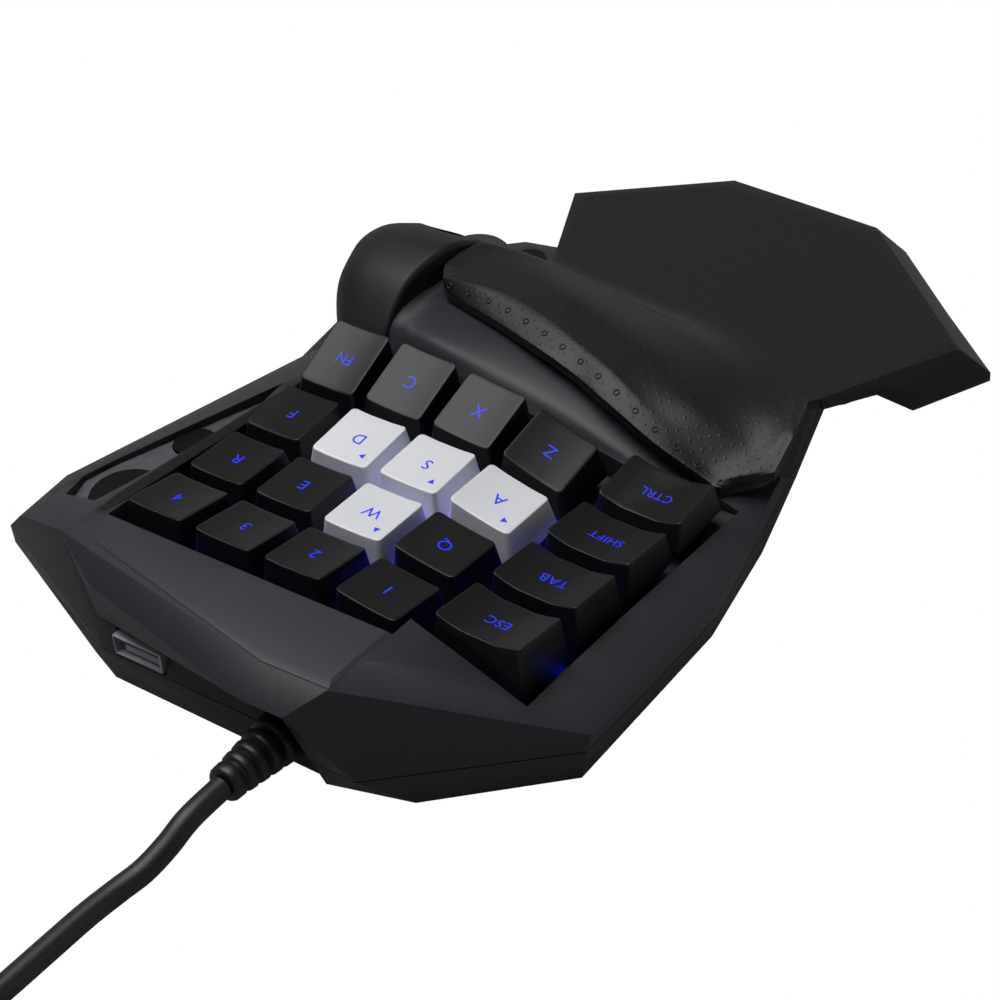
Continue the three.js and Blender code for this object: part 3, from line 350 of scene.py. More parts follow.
def softened(node, width):
    """A copy of a solid's mesh: doubles merged, flat faces joined, sharp edges rounded by a width in mm."""
    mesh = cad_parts[node].data.copy()
    shape = opened(mesh)
    bmesh.ops.remove_doubles(shape, verts=shape.verts, dist=0.00001)
    bmesh.ops.dissolve_limit(shape, angle_limit=math.radians(1.0), verts=shape.verts, edges=shape.edges)
    bmesh.ops.bevel(shape, geom=sharp_edges(shape, 22.0), offset=width * MM, segments=2, profile=0.5,
                    affect="EDGES", clamp_overlap=True)
    bmesh.ops.triangulate(shape, faces=[f for f in shape.faces if len(f.verts) > 4])
    return closed(shape, mesh)


def cubic(start, end, slope0, slope1, t):
    """The cubic between two points with a slope at each, at share t."""
    return ((2 * t ** 3 - 3 * t ** 2 + 1) * start + (t ** 3 - 2 * t ** 2 + t) * slope0
            + (-2 * t ** 3 + 3 * t ** 2) * end + (t ** 3 - t ** 2) * slope1)


def spread(points, places, smoothness=1.0):
    """Points of a line, along the first axis, at fractional places: straight between them, or by a cubic
    whose slopes are limited so that it doesn't overshoot."""
    points = np.asarray(points, float)
    count = len(points)
    places = np.clip(np.asarray(places, float), 0, count - 1)
    index = np.minimum(places.astype(int), count - 2)
    share = (places - index).reshape((-1,) + (1,) * (points.ndim - 1))
    steps = np.diff(points, axis=0)
    before, after = steps[:-1], steps[1:]
    both = np.where(before + after == 0, 1, before + after)
    slope = np.where(before * after > 0, 2 * before * after / both, 0)
    slope = 0.6 * slope + 0.4 * np.clip((before + after) / 2, -3 * np.minimum(abs(before), abs(after)),
                                       3 * np.minimum(abs(before), abs(after)))
    slopes = np.concatenate([steps[:1], slope, steps[-1:]])
    start, end = points[index], points[index + 1]
    curved = cubic(start, end, slopes[index], slopes[index + 1], share)
    return smoothness * curved + (1 - smoothness) * (start * (1 - share) + end * share)


def lathe(profile, centre, count=48):
    """A solid turned about a line along Y: the profile's radius and place along it, closed at both ends."""
    profile = np.asarray(profile, float)
    angle = round_angles(count)
    radius = np.maximum(profile[:, 0], 0.002)[:, None]
    points = np.stack([centre[0] + radius * np.cos(angle), np.repeat(profile[:, 1:], count, 1),
                       centre[1] + radius * np.sin(angle)], -1)
    return points.reshape(-1, 3), grid_faces(len(profile), count, wrap_columns=True)


def rounded_block(low, high, radius):
    """A box with rounded edges, as a mesh in the object's frame, corners in mm."""
    mesh = bpy.data.meshes.new("block")
    shape = bmesh.new()
    bmesh.ops.create_cube(shape, size=1.0)
    low, high = np.asarray(low, float) * MM, np.asarray(high, float) * MM
    for vert in shape.verts:
        vert.co = Vector((low + high) / 2 + np.array(vert.co) * (high - low))
    bmesh.ops.bevel(shape, geom=shape.edges[:], offset=radius * MM, segments=2, profile=0.5, affect="EDGES")
    return closed(shape, mesh)


def cut_by(mesh, tool):
    """A mesh less a tool mesh."""
    holder, cutter = in_scene("holder", mesh), in_scene("cutter", tool)
    change = holder.modifiers.new("cut", "BOOLEAN")
    change.operation = "DIFFERENCE"
    change.solver = "EXACT"
    change.object = cutter
    result = worked_out(holder)
    for item in (cutter, holder):
        bpy.data.objects.remove(item)
    return result


# The leaning plane of the keys
PITCH = 19.05
FIELD_HEIGHT = 32.0


def turn(axis, degrees):
    return np.array(Matrix.Rotation(math.radians(degrees), 3, axis))


FIELD_TURN = turn("Y", -4.5) @ turn("X", -5.2)
FIELD_PLACE = np.array([0.0, 0.0, FIELD_HEIGHT]) + SHIFT


def from_field(points):
    """Points of the key plane's own frame, in mm, moved to the object's frame."""
    return np.asarray(points) @ FIELD_TURN.T + FIELD_PLACE


# How each cap stands, row by row from the palm: its rise in mm, its tilt and its roll in degrees.
CAP_RISES = [[-1.8, 1.0, 0.9, -0.5], [-1.3, -0.3, -1.8, -3.2], [0.6, 0.4, -1.0, -2.5], [3.3, 3.6, 1.8, 0.7]]
CAP_TILTS = [[-8.4, -15.8, -20.4, -23.1], [5.1, 0.8, -2.2, 0.1],
             [7.8, 4.6, 5.1, 5.8], [12.4, 12.4, 13.9, 14.1]]
CAP_ROLLS = [[16.2, 2.1, -0.1, -3.9], [10.8, -2.7, -3.9, -4.2],
             [6.6, -4.0, -4.4, -3.8], [4.6, -5.0, -3.4, -3.8]]
WIDE_RISES = [-4.2, -2.0, 1.4, 5.4]
WIDE_TILTS = [-1.1, 10.1, 9.8, 12.6]
ROW_NAMES = [["z", "x", "c", "fn"], ["a", "s", "d", "f"], ["q", "w", "e", "r"], ["1", "2", "3", "4"]]
WIDE_NAMES = ["ctrl", "shift", "tab", "esc"]
PALE = "wasd"
SQUARE_CAP = dict(base=(18.0, 18.0), top=(15.3, 15.4), scoop=0.5)
WIDE_CAP = dict(base=(22.6, 17.4), top=(21.1, 14.6), scoop=2.3, roll=-2.3, x=-53.2)
WIDE_STEP = 4.3


def key_list():
    """Every key: name, centre, rise, tilt, roll, base, top, scoop."""
    keys = []
    for row in range(4):
        y = (row - 1.5) * PITCH
        for column in range(4):
            keys.append(dict(SQUARE_CAP, name=ROW_NAMES[row][column], x=(column - 1.5) * PITCH, y=y,
                             rise=CAP_RISES[row][column], tilt=CAP_TILTS[row][column],
                             roll=CAP_ROLLS[row][column]))
        keys.append(dict(WIDE_CAP, name=WIDE_NAMES[row], y=y - WIDE_STEP, rise=WIDE_RISES[row],
                         tilt=WIDE_TILTS[row]))
    return keys


def rounded_ring(width, depth, radius, count=72):
    """A rounded rectangle: the angle runs evenly round it, each corner a quarter circle, whose first and last
    points are drawn along the sides."""
    angle = (np.arange(count) + 0.5) / count * 2 * np.pi
    quarter = np.floor(angle / (np.pi / 2)).astype(int) % 4
    share = (angle - quarter * np.pi / 2) / (np.pi / 2)
    sx = np.array([1, -1, -1, 1])[quarter]
    sy = np.array([1, 1, -1, -1])[quarter]
    straight = np.clip(np.abs(share - 0.5) * 2 - 0.6, 0, 1) / 0.4
    corner = np.clip((share - 0.2) / 0.6, 0, 1) * np.pi / 2 + quarter * np.pi / 2
    x = sx * (width / 2 - radius) + radius * np.cos(corner)
    y = sy * (depth / 2 - radius) + radius * np.sin(corner)
    upright = (quarter % 2 == 0) == (share < 0.5)
    y = np.where(upright, y * (1 - straight) + y * straight * 0.35, y)
    x = np.where(upright, x, x * (1 - straight) + x * straight * 0.35)
    return x, y


def top_height(key, x, y):
    """Height of a cap's top: a leaning plane less a parabola across its width."""
    half = key["top"][0] / 2
    dish = key["scoop"] * (1 - np.clip(np.abs(x) / half, 0, 1) ** 2)
    lean_x, lean_y = (math.tan(math.radians(key[way])) for way in ("roll", "tilt"))
    return key["rise"] + x * lean_x + y * lean_y - dish


SKIRT = -11.2
CAP_WALL, CAP_EDGE, CAP_HOLLOW = 1.3, 0.32, 4.5


def cap_mesh(key):
    """A cap: rounded rings from the ceiling of its hollow down, round the skirt, up the walls, over a rounded
    edge and in to the middle of the dished top."""
    base_w, base_d = key["base"]
    top_w, top_d = key["top"]
    edge, steps = CAP_EDGE, 4
    hollow_w, hollow_d = base_w - 2 * CAP_WALL, base_d - 2 * CAP_WALL
    rings = []

    def ring(width, depth, radius, height, share=1.0):
        x, y = rounded_ring(width, depth, radius)
        x, y = x * share, y * share
        rings.append(np.stack([x, y, height(x, y) if callable(height) else np.full_like(x, height)], -1))

    for share in (0.001, 1.0):
        ring(hollow_w - 0.8, hollow_d - 0.8, 1.0, SKIRT + CAP_HOLLOW, share)
    ring(hollow_w, hollow_d, 1.0, SKIRT)
    ring(base_w - 0.1, base_d - 0.1, 1.2, SKIRT)
    for share in np.linspace(0, 1, 7):
        width = base_w + (top_w - base_w) * share
        depth = base_d + (top_d - base_d) * share
        radius = 1.15 + 0.05 * share
        ring(width, depth, radius, lambda x, y, s=share: SKIRT + (top_height(key, x, y) - edge - SKIRT) * s)
    for index in range(1, steps + 1):
        angle = np.pi / 2 * index / steps
        inset = edge * (1 - np.cos(angle))
        ring(top_w - 2 * inset, top_d - 2 * inset, 1.2 - inset * 0.5,
             lambda x, y, a=angle: top_height(key, x, y) - edge * (1 - np.sin(a)))
    for share in (0.9, 0.75, 0.6, 0.45, 0.3, 0.15, 0.001):
        ring(top_w - 2 * edge, top_d - 2 * edge, 1.0, lambda x, y: top_height(key, x, y), share)
    points = np.array(rings)
    points[..., 0] += key["x"]
    points[..., 1] += key["y"]
    faces = grid_faces(len(rings), points.shape[1], wrap_columns=True)
    return merged(from_field(points.reshape(-1, 3)), faces, "cap", 0.00004)


LEGEND_LIFT = 0.045


def legend_mesh(key, text, size):
    """Letters as thin solids that follow the dish of the cap."""
    curve = bpy.data.curves.new("legend", "FONT")
    curve.body = text
    curve.size = size
    curve.align_x = "CENTER"
    curve.align_y = "CENTER"
    curve.extrude = 0.02
    curve.resolution_u = 4
    curve.space_character = 1.02
    letters = in_scene("legend", curve)
    mesh = worked_out(letters)
    bpy.data.objects.remove(letters)
    points = np.zeros(len(mesh.vertices) * 3, np.float32)
    mesh.vertices.foreach_get("co", points)
    points = points.reshape(-1, 3).astype(float)
    x, y, z = points.T
    placed = np.stack([x + key["x"], y + key["y"], top_height(key, x, y) + z + LEGEND_LIFT], -1)
    mesh.vertices.foreach_set("co", (from_field(placed) * MM).astype(np.float32).ravel())
    mesh.update()
    return mesh


ARROW_X, ARROW_Y, ARROW_SIZE = -4.4, 4.5, 0.95


def arrow_mesh(key, way):
    """A small solid triangle near the far corner of a cap, pointing left, right, up or down."""
    turned = [math.pi, 0.0, math.pi / 2, -math.pi / 2][way]
    angle = turned + round_angles(3)
    x, y = ARROW_X + ARROW_SIZE * np.cos(angle), ARROW_Y + ARROW_SIZE * np.sin(angle)
    low = np.stack([x + key["x"], y + key["y"], top_height(key, x, y) + 0.01], -1)
    points = np.concatenate([low, low + [0, 0, 0.05]])
    faces = [[2, 1, 0], [3, 4, 5], [0, 1, 4, 3], [1, 2, 5, 4], [2, 0, 3, 5]]
    return merged(from_field(points), faces, "arrow", 0.000001)


LAMP_LOW, LAMP_LONG, LAMP_THIN = -14.8, 6.0, 0.35


def lamp_mesh(key, beside=True):
    """Low lit bars on the key plate, in the gaps behind the cap and beside it, or behind it alone."""
    faces = np.array([[0, 1, 3, 2], [4, 6, 7, 5], [0, 4, 5, 1], [2, 3, 7, 6], [0, 2, 6, 4], [1, 5, 7, 3]])
    corners = np.array([(a, b, c) for a in (-1, 1) for b in (-1, 1) for c in (-0.4, 0.4)], float)
    base = np.array([key["x"], key["y"], LAMP_LOW])
    bars = corners * [LAMP_LONG, LAMP_THIN, 1] + base + [0, PITCH / 2, 0]
    if beside:
        wide = key["base"][0] > PITCH
        size = [0.5, 0.9, 1] if wide else [LAMP_THIN, LAMP_LONG, 1]
        step = [-key["base"][0] / 2 - 1.1, PITCH / 2, 0] if wide else [-PITCH / 2, 0, 0]
        bars = np.vstack([bars, corners * size + base + step])
        faces = np.vstack([faces, faces + 8])
    return merged(from_field(bars), faces, "lamp", 0.000001)


# Palm rest and thumb housing
# The pad's stations, from the thumb to the little finger. Each has the lip's edge, its crease, two points
# of the dome, the plate's near edge, its far edge and the skirt's foot.
PALM = np.array([
    [(23.9, -61.3, 37.6), (26.0, -62.9, 40.4), (28.3, -68.1, 41.4), (26.7, -78.6, 41.8),
     (19.4, -98.1, 30.0), (33.4, -127.3, 30.0), (36.0, -129.0, 24.5)],
    [(8.1, -57.0, 38.0), (10.6, -62.7, 41.4), (12.2, -71.7, 41.3), (13.7, -81.4, 40.3),
     (10.1, -96.7, 30.0), (1.6, -152.9, 30.0), (2.0, -158.0, 24.0)],
    [(-9.1, -52.5, 37.2), (-4.2, -60.2, 40.6), (-1.6, -70.0, 40.9), (-0.3, -83.3, 37.4),
     (-2.5, -95.3, 30.0), (-20.0, -151.2, 30.0), (-21.0, -157.0, 24.0)],
    [(-20.5, -50.2, 35.2), (-17.2, -56.3, 38.8), (-15.8, -66.9, 38.8), (-14.8, -82.2, 35.0),
     (-16.2, -94.4, 30.0), (-41.5, -149.3, 30.0), (-47.5, -153.5, 22.8)],
    [(-30.8, -47.2, 33.2), (-28.6, -52.9, 36.8), (-28.8, -63.7, 36.6), (-28.9, -79.6, 33.4),
     (-28.9, -93.6, 30.0), (-64.0, -128.8, 30.0), (-69.0, -134.0, 22.4)],
    [(-45.7, -45.0, 27.9), (-43.7, -49.3, 30.6), (-46.5, -58.2, 32.2), (-45.6, -73.8, 31.4),
     (-45.5, -89.6, 30.0), (-84.7, -109.8, 30.0), (-90.0, -115.6, 22.2)],
    [(-56.8, -45.7, 23.0), (-57.1, -48.4, 23.6), (-61.0, -56.9, 26.2), (-61.5, -67.7, 29.2),
     (-58.4, -82.4, 30.0), (-77.5, -95.7, 30.0), (-81.0, -95.5, 22.4)],
    [(-59.5, -45.5, 22.0), (-60.5, -47.9, 22.7), (-66.3, -54.9, 24.8), (-66.8, -64.5, 28.6),
     (-62.7, -78.3, 30.0), (-74.2, -89.0, 30.0), (-75.2, -89.0, 28.4)],
    [(-60.8, -45.9, 21.8), (-62.1, -48.9, 22.3), (-69.5, -54.4, 23.8), (-69.0, -62.8, 28.0),
     (-66.5, -73.9, 30.0), (-67.8, -76.2, 30.0), (-68.6, -76.4, 29.4)]], float)
PAD_THICKNESS = 2.2


def palm_surface(across, along):
    """The pad's top at places across the stations and along them. Along, the lip is straight, crease, dome
    and valley are a limited cubic, the plate is flat and the skirt straight. Across, all but the plate's
    corners join smoothly. Past the last station but one the cubic fades to straight lines."""
    weight = np.array([1, 1, 1, 1, 1, 0, 0])[None, :, None]
    rows = np.swapaxes(spread(PALM, across) * weight + spread(PALM, across, 0.0) * (1 - weight), 0, 1)
    along = np.asarray(along, float)
    curve = spread(rows[1:6], along - 1)
    flat = spread(rows, along, 0.0)
    share = along[:, None, None]
    corner = np.clip(np.asarray(across, float) - 7, 0, 1)[None, :, None]
    curve = curve * (1 - corner) + flat * corner
    return np.where((share < 1) | (share > 4), flat, curve)


def sheet_mesh(top, thickness, name):
    """A closed sheet under a grid of points, its rims rounded."""
    rows, columns = top.shape[:2]
    count = rows * columns
    points = np.concatenate([top.reshape(-1, 3), (top - [0, 0, thickness]).reshape(-1, 3)])
    faces = grid_faces(rows, columns)
    edge = np.concatenate([np.arange(columns), np.arange(1, rows) * columns + columns - 1,
                           count - 2 - np.arange(columns - 1), np.arange(rows - 2, 0, -1) * columns])
    nearby = np.roll(edge, -1)
    sides = np.stack([edge, nearby, nearby + count, edge + count], -1)
    mesh = merged(points + SHIFT, np.concatenate([faces, faces[:, ::-1] + count, sides]), name)
    shape = opened(mesh)
    bmesh.ops.bevel(shape, geom=sharp_edges(shape, 38), offset=0.5 * MM, segments=2, profile=0.5,
                    affect="EDGES", clamp_overlap=True)
    bmesh.ops.recalc_face_normals(shape, faces=shape.faces)
    return closed(shape, mesh)


PALM_ALONG = np.concatenate([np.linspace(0, 1, 5), np.linspace(1, 4, 37)[1:],
                             np.linspace(4, 5, 12)[1:], np.linspace(5, 6, 3)[1:]])
CARRIER_THICKNESS, CARRIER_GAP = 1.6, 0.3


def palm_mesh():
    """The rubber pad."""
    return sheet_mesh(palm_surface(np.linspace(0, 8, 81), PALM_ALONG), PAD_THICKNESS, "palm")


def carrier_mesh():
    """The rigid carrier: the pad's surface drawn in a little and set under it."""
    top = palm_surface(np.linspace(0.12, 7.5, 60), np.linspace(0.3, 4.97, 40))
    return sheet_mesh(top - [0, 0, PAD_THICKNESS + CARRIER_GAP], CARRIER_THICKNESS, "carrier")


STUDS, STUD_RING, STUD_WIRE, STUD_LIFT = 15, 0.62, 0.2, 0.05


def unit(vectors):
    return vectors / np.linalg.norm(vectors, axis=1)[:, None]


def stud_mesh():
    """Small rings along the lip band at even distances, each of round section and laid on the surface."""
    along = 0.55
    dense = np.linspace(0, 8, 401)
    walked = np.linalg.norm(np.diff(palm_surface(dense, [along])[0], axis=0), axis=1).cumsum()
    places = np.interp(np.linspace(0.02, 0.985, STUDS) * walked[-1], walked, dense[1:])
    here = palm_surface(places, [along])[0]
    ahead = palm_surface(places + 0.02, [along])[0]
    up = palm_surface(places, [along + 0.1])[0]
    one = unit(ahead - here)
    two = up - here
    two = unit(two - (two * one).sum(1)[:, None] * one)
    normal = np.cross(one, two)
    normal *= np.sign(normal[:, 2:])
    angle, tube = round_angles(20)[:, None, None], round_angles(8)[None, :, None]
    one, two, normal, here = (vector[:, None, None, :] for vector in (one, two, normal, here))
    flat = np.cos(angle) * one + np.sin(angle) * two
    points = (here + flat * (STUD_RING + STUD_WIRE * np.cos(tube))
              + (STUD_WIRE * np.sin(tube) + STUD_LIFT) * normal).reshape(-1, 3)
    first = (np.arange(STUDS) * angle.size * tube.size)[:, None, None]
    faces = (grid_faces(angle.size, tube.size, True, True) + first).reshape(-1, 4)
    return merged(points + SHIFT, faces, "studs", 0.000001)


# The hump at stations from the keys to the palm: place, reach outward from its middle, top and inner wall.
HUMP_PLACES = np.array([-43, -45, -50, -56, -62, -68, -74, -80, -87, -94, -100, -103], float)
HUMP_WIDTHS = np.array([0.5, 12.3, 16.5, 21.2, 23.5, 25.3, 25.8, 24.7, 23.2, 22.0, 20.5, 18.0], float)
HUMP_TOPS = np.array([22, 28.5, 35.6, 41.1, 43.5, 44.5, 43.7, 41.2, 37.5, 32.5, 27, 22], float)
HUMP_MIDDLE = 33.0
HUMP_INNER = np.array([31.6, 31.6, 31.6, 31.1, 30.1, 29.1, 28.2, 27.3, 26.4, 25.8, 25.6, 25.6], float)
HUMP_LOW, HUMP_SHOULDER = 19.0, 1.6


def hump_mesh():
    """The hump: along its depth the sizes are limited cubics. Across, z = low + h (1 - c^4)^(1/4) with c the
    share of the outer reach. The inner shoulder is a quarter round and its wall stands straight."""
    places = np.linspace(0, len(HUMP_PLACES) - 1, 67)
    y, width, top, inner = (spread(values[:, None], places)[:, :1]
                            for values in (HUMP_PLACES, HUMP_WIDTHS, HUMP_TOPS, HUMP_INNER))
    rim = HUMP_MIDDLE + width

    def height(x):
        share = np.clip((x - HUMP_MIDDLE) / width, 0, 1)
        return HUMP_LOW + (top - HUMP_LOW) * (1 - share ** 4) ** 0.25

    free = np.maximum(height(inner + HUMP_SHOULDER) - HUMP_LOW, 0.2)
    radius = np.minimum(HUMP_SHOULDER, free * 0.45)
    turn_x = inner + radius
    angle = np.linspace(0, np.pi / 2, 33)[None, :]
    x_top = turn_x + (rim - turn_x) * np.sqrt(np.cos(angle))
    z_top = height(x_top)
    bend = np.linspace(0, np.pi / 2, 8)[None, 1:]
    x_bend = turn_x - radius * np.sin(bend)
    z_bend = height(turn_x) - radius * (1 - np.cos(bend))
    x = np.concatenate([x_top, x_bend, inner], 1)
    z = np.concatenate([z_top, z_bend, np.full_like(inner, HUMP_LOW)], 1)
    points = np.stack([x, np.repeat(y, x.shape[1], 1), z], -1)
    return merged(points.reshape(-1, 3) + SHIFT, tube_faces(*points.shape[:2]), "hump")


# The shelf's sections, from the hump to the little finger, each from its foot by the keys over the top.
SHELF = np.array([
    [(33, -44.8, 19), (32.9, -46, 27), (32.4, -50, 33.4),
     (31.4, -56, 35.8), (30, -66.6, 36.8), (30, -66.6, 19)],
    [(30, -45.0, 19), (29.9, -46, 28), (29.3, -50, 33.6),
     (28.6, -57.5, 35.8), (28, -66.6, 36.6), (28, -66.6, 19)],
    [(26, -45.1, 19), (26, -45.6, 28.5), (25.5, -49.2, 33.6),
     (25, -58, 35.0), (24.5, -66, 35.0), (24.5, -66, 19)],
    [(18, -44.5, 19), (18, -44.5, 29.5), (17.5, -48, 34),
     (17.5, -58, 34.9), (17.5, -66, 34.8), (17.5, -66, 19)],
    [(4, -43, 19), (4, -43, 29.5), (4, -46.5, 33.2), (5, -55, 34.6), (5, -62, 34.6), (5, -62, 19)],
    [(-17, -42, 19), (-17, -42, 26.5), (-16, -45.5, 30.2), (-14, -53, 32), (-14, -58, 32), (-14, -58, 18)],
    [(-38, -41.8, 17), (-38, -41.8, 22.5), (-37, -44, 24.8),
     (-34, -50, 26.8), (-33, -54, 26.8), (-33, -54, 16)],
    [(-58, -45.6, 13), (-58, -45.6, 17.5), (-57, -46.2, 18),
     (-55, -48, 18.5), (-54, -50, 18.5), (-54, -50, 13)]
], float)


def shelf_mesh():
    """The band in front of the pad: sections of six corners, rounded over the front, joined smoothly."""
    sections = np.swapaxes(spread(SHELF, np.linspace(0, len(SHELF) - 1, 85)), 0, 1)
    points = np.concatenate([sections[:1], spread(sections[1:5], np.linspace(0, 3, 22)), sections[5:]])
    rows, columns = points.shape[:2]
    end = np.arange(rows) * columns
    faces = list(grid_faces(rows, columns, wrap_rows=True)) + [end, end + columns - 1]
    return merged(points.reshape(-1, 3) + SHIFT, faces, "shelf")


RIM_FRONT, RIM_BACK, RIM_TAPER = -22.0, 38.6, 3.0
RIM_REACH, RIM_HEIGHT = 1.75, 0.42
RIM_LOW, DECK_RISE = 28.68, 0.0366


def rim_mesh():
    """The dark rim between strip and keys: a low half round that follows the slope of the deck and thins
    out at both ends."""
    y = np.linspace(RIM_FRONT, RIM_BACK, 12)[:, None]
    ease = np.minimum(1, np.minimum(y - RIM_FRONT + 0.6, RIM_BACK + 0.6 - y) / RIM_TAPER) ** 0.5
    angle = np.linspace(0, np.pi, 13)[None, :]
    x = 40.15 + RIM_SLANT * y - RIM_REACH * ease * np.cos(angle)
    z = RIM_LOW + DECK_RISE * y + RIM_HEIGHT * ease * np.sin(angle) ** 0.7
    points = np.stack([x, np.repeat(y, angle.size, 1), z], -1)
    return merged(points.reshape(-1, 3) + SHIFT, tube_faces(*points.shape[:2]), "rim")


FILM_OUTER = np.array([(39.6, 39.9), (-37.6, 39.9), (-38.4, 59.8), (-21.6, 60.2), (35.2, 48.3)], float)
FILM_INNER = np.array([(39.0, 40.3), (-37.1, 40.3), (-37.2, 57.6), (-20.9, 58.2), (33.2, 47.9)], float)


def film_mesh():
    """The panel's raised face: an outline, the same a little higher, and a smaller one at the top."""
    rings = [(FILM_OUTER, 30.2), (FILM_OUTER, 30.42), (FILM_INNER, 30.8)]
    points = np.concatenate([np.column_stack([ring, np.full(len(ring), height)]) for ring, height in rings])
    return merged(points + SHIFT, tube_faces(len(rings), len(FILM_OUTER)), "film")


COVE_MIDDLE, COVE_RADIUS = (37.5, -90.6), 13.2


def cove_mesh():
    """The round tool that clears the stick's place in the hump."""
    angle = round_angles(64)
    ring = COVE_RADIUS * np.column_stack([np.cos(angle), np.sin(angle)]) + COVE_MIDDLE
    points = np.concatenate([np.column_stack([ring, np.full(64, height)]) for height in (20.5, 60.0)])
    return merged(points + SHIFT, tube_faces(2, 64), "cove")


# Settings
class KeySettings(bpy.types.PropertyGroup):
    """What a user would change on the keys."""
    black: bpy.props.FloatVectorProperty(name="Black cap", description="Colour of the black caps", size=3,
                                         subtype="COLOR", default=linear(23, 23, 24))
    silver: bpy.props.FloatVectorProperty(name="Silver cap", description="Colour of the pale caps", size=3,
                                          subtype="COLOR", default=linear(222, 223, 227))
    glow: bpy.props.FloatVectorProperty(name="Glow", description="Colour of the legends and the lamps",
                                        size=3, subtype="COLOR", default=linear(30, 46, 236))


class HousingSettings(bpy.types.PropertyGroup):
    """What a user would change on the housing."""
    charcoal: bpy.props.FloatVectorProperty(name="Charcoal", description="Colour of the top shell", size=3,
                                            subtype="COLOR", default=linear(41, 40, 46))
    edge: bpy.props.FloatProperty(name="Edge", description="Rounding of the housing's edges, in mm",
                                  default=0.55, min=0.1, max=2.0)


class StageSettings(bpy.types.PropertyGroup):
    """Light level of the studio."""
    key_power: bpy.props.FloatProperty(name="Key light", description="Power of the large lamp", default=11.0,
                                       subtype="POWER")
    fill_power: bpy.props.FloatProperty(name="Fill light", description="Power of the side lamps",
                                        default=0.25, subtype="POWER")
    horizon: bpy.props.FloatProperty(name="Horizon", description="Light of the low far sky", default=0.42)
    room: bpy.props.FloatProperty(name="Room", description="Light from all round", default=0.06)


# The camera, floor and lamps
FLOOR_REACH = 3.0
GLOSSY_SHARE = 0.06  # how much of the white floor the gloss of the pieces shows
FLOOR_GREY = (0.2, 0.2, 0.21)
BAND_FULL, BAND_GONE = 0.24, 0.46  # how high the light of the low far sky stands, and where it ends
LAMPS = (("top_lamp", (0.24, 0.14, 1.0), 0.85, "key_power"),
         ("side_lamp", (-1.0, -0.3, 0.45), 0.6, "fill_power"),
         ("back_lamp", (-0.15, 0.95, 0.8), 0.5, "fill_power"))
CAMERA_PLACE = np.array([-299.60, 328.88, 336.93])
CAMERA_RIGHT = np.array([-0.80653, -0.58775, -0.06372])
CAMERA_DOWN = np.array([-0.29985, 0.49957, -0.81272])
CAMERA_FORWARD = np.array([0.50951, -0.63638, -0.57916])


def seen_white(nodes, glossy=0.0):
    """One for what the camera sees, straight or through a clear piece, and a share for what gloss shows."""
    path = nodes.tree.nodes.new("ShaderNodeLightPath")
    seen = Socket(nodes, path.outputs["Is Camera Ray"]) + Socket(nodes, path.outputs["Is Transmission Ray"])
    return (seen + Socket(nodes, path.outputs["Is Glossy Ray"]) * glossy if glossy else seen).clamp()


class KEYPAD_OT_stage(bpy.types.Operator):
    """The camera, the pale floor, the white world and the soft lamps"""
    bl_idname = "keypad.stage"
    bl_label = "Stage"

    def execute(self, context):
        scene = context.scene
        settings = scene.keypad_stage
        scene.view_settings.view_transform = "Standard"
        camera = scene.camera = in_scene("camera", bpy.data.cameras.new("camera"))
        camera.data.sensor_width = 36.0
        camera.data.lens = 90.0
        camera.data.clip_start = 0.01
        camera.data.clip_end = 20.0
        turned = Matrix([[CAMERA_RIGHT[i], -CAMERA_DOWN[i], -CAMERA_FORWARD[i]] for i in range(3)])
        camera.matrix_world = Matrix.Translation(Vector((CAMERA_PLACE + SHIFT) * MM)) @ turned.to_4x4()
        floor = bpy.data.meshes.new("floor")
        corners = [(-1, -1, 0), (1, -1, 0), (1, 1, 0), (-1, 1, 0)]
        floor.from_pydata((np.array(corners) * FLOOR_REACH).tolist(), [], [(0, 1, 2, 3)])
        ground = in_scene("floor", floor)
        nodes = Nodes("pale_floor")
        plain = principled(nodes, Base_Color=FLOOR_GREY, Roughness=0.9)
        white = nodes.add("ShaderNodeEmission", Color=(1, 1, 1, 1), Strength=1.0)
        blend = nodes.add("ShaderNodeMixShader", _0=seen_white(nodes, GLOSSY_SHARE), _1=plain, _2=white)
        floor.materials.append(nodes.finish(blend))
        sky = Nodes("studio", True)
        _, across, rise = sky.add("ShaderNodeTexCoord", output=0).parts()
        low = sky.add("ShaderNodeMapRange", {"interpolation_type": "SMOOTHSTEP"}, Value=rise,
                      From_Min=BAND_FULL, From_Max=BAND_GONE, To_Min=1.0, To_Max=0.0)
        far = (across * -0.8 + 0.35).clamp()
        level = low * far * settings.horizon + settings.room
        soft = sky.add("ShaderNodeBackground", Color=(1, 1, 1, 1), Strength=level)
        white = sky.add("ShaderNodeBackground", Color=(1, 1, 1, 1), Strength=1.0)
        scene.world = sky.finish(sky.add("ShaderNodeMixShader", _0=seen_white(sky), _1=soft, _2=white))
        for name, place, size, power in LAMPS:
            lamp = bpy.data.lights.new(name, "AREA")
            lamp.size = size
            lamp.energy = getattr(settings, power)
            holder = in_scene(name, lamp)
            holder.location = place
            holder.rotation_mode = "QUATERNION"
            holder.rotation_quaternion = (-Vector(place)).to_track_quat("-Z", "Y")
        return {"FINISHED"}


# The cable
CORD = 5.2
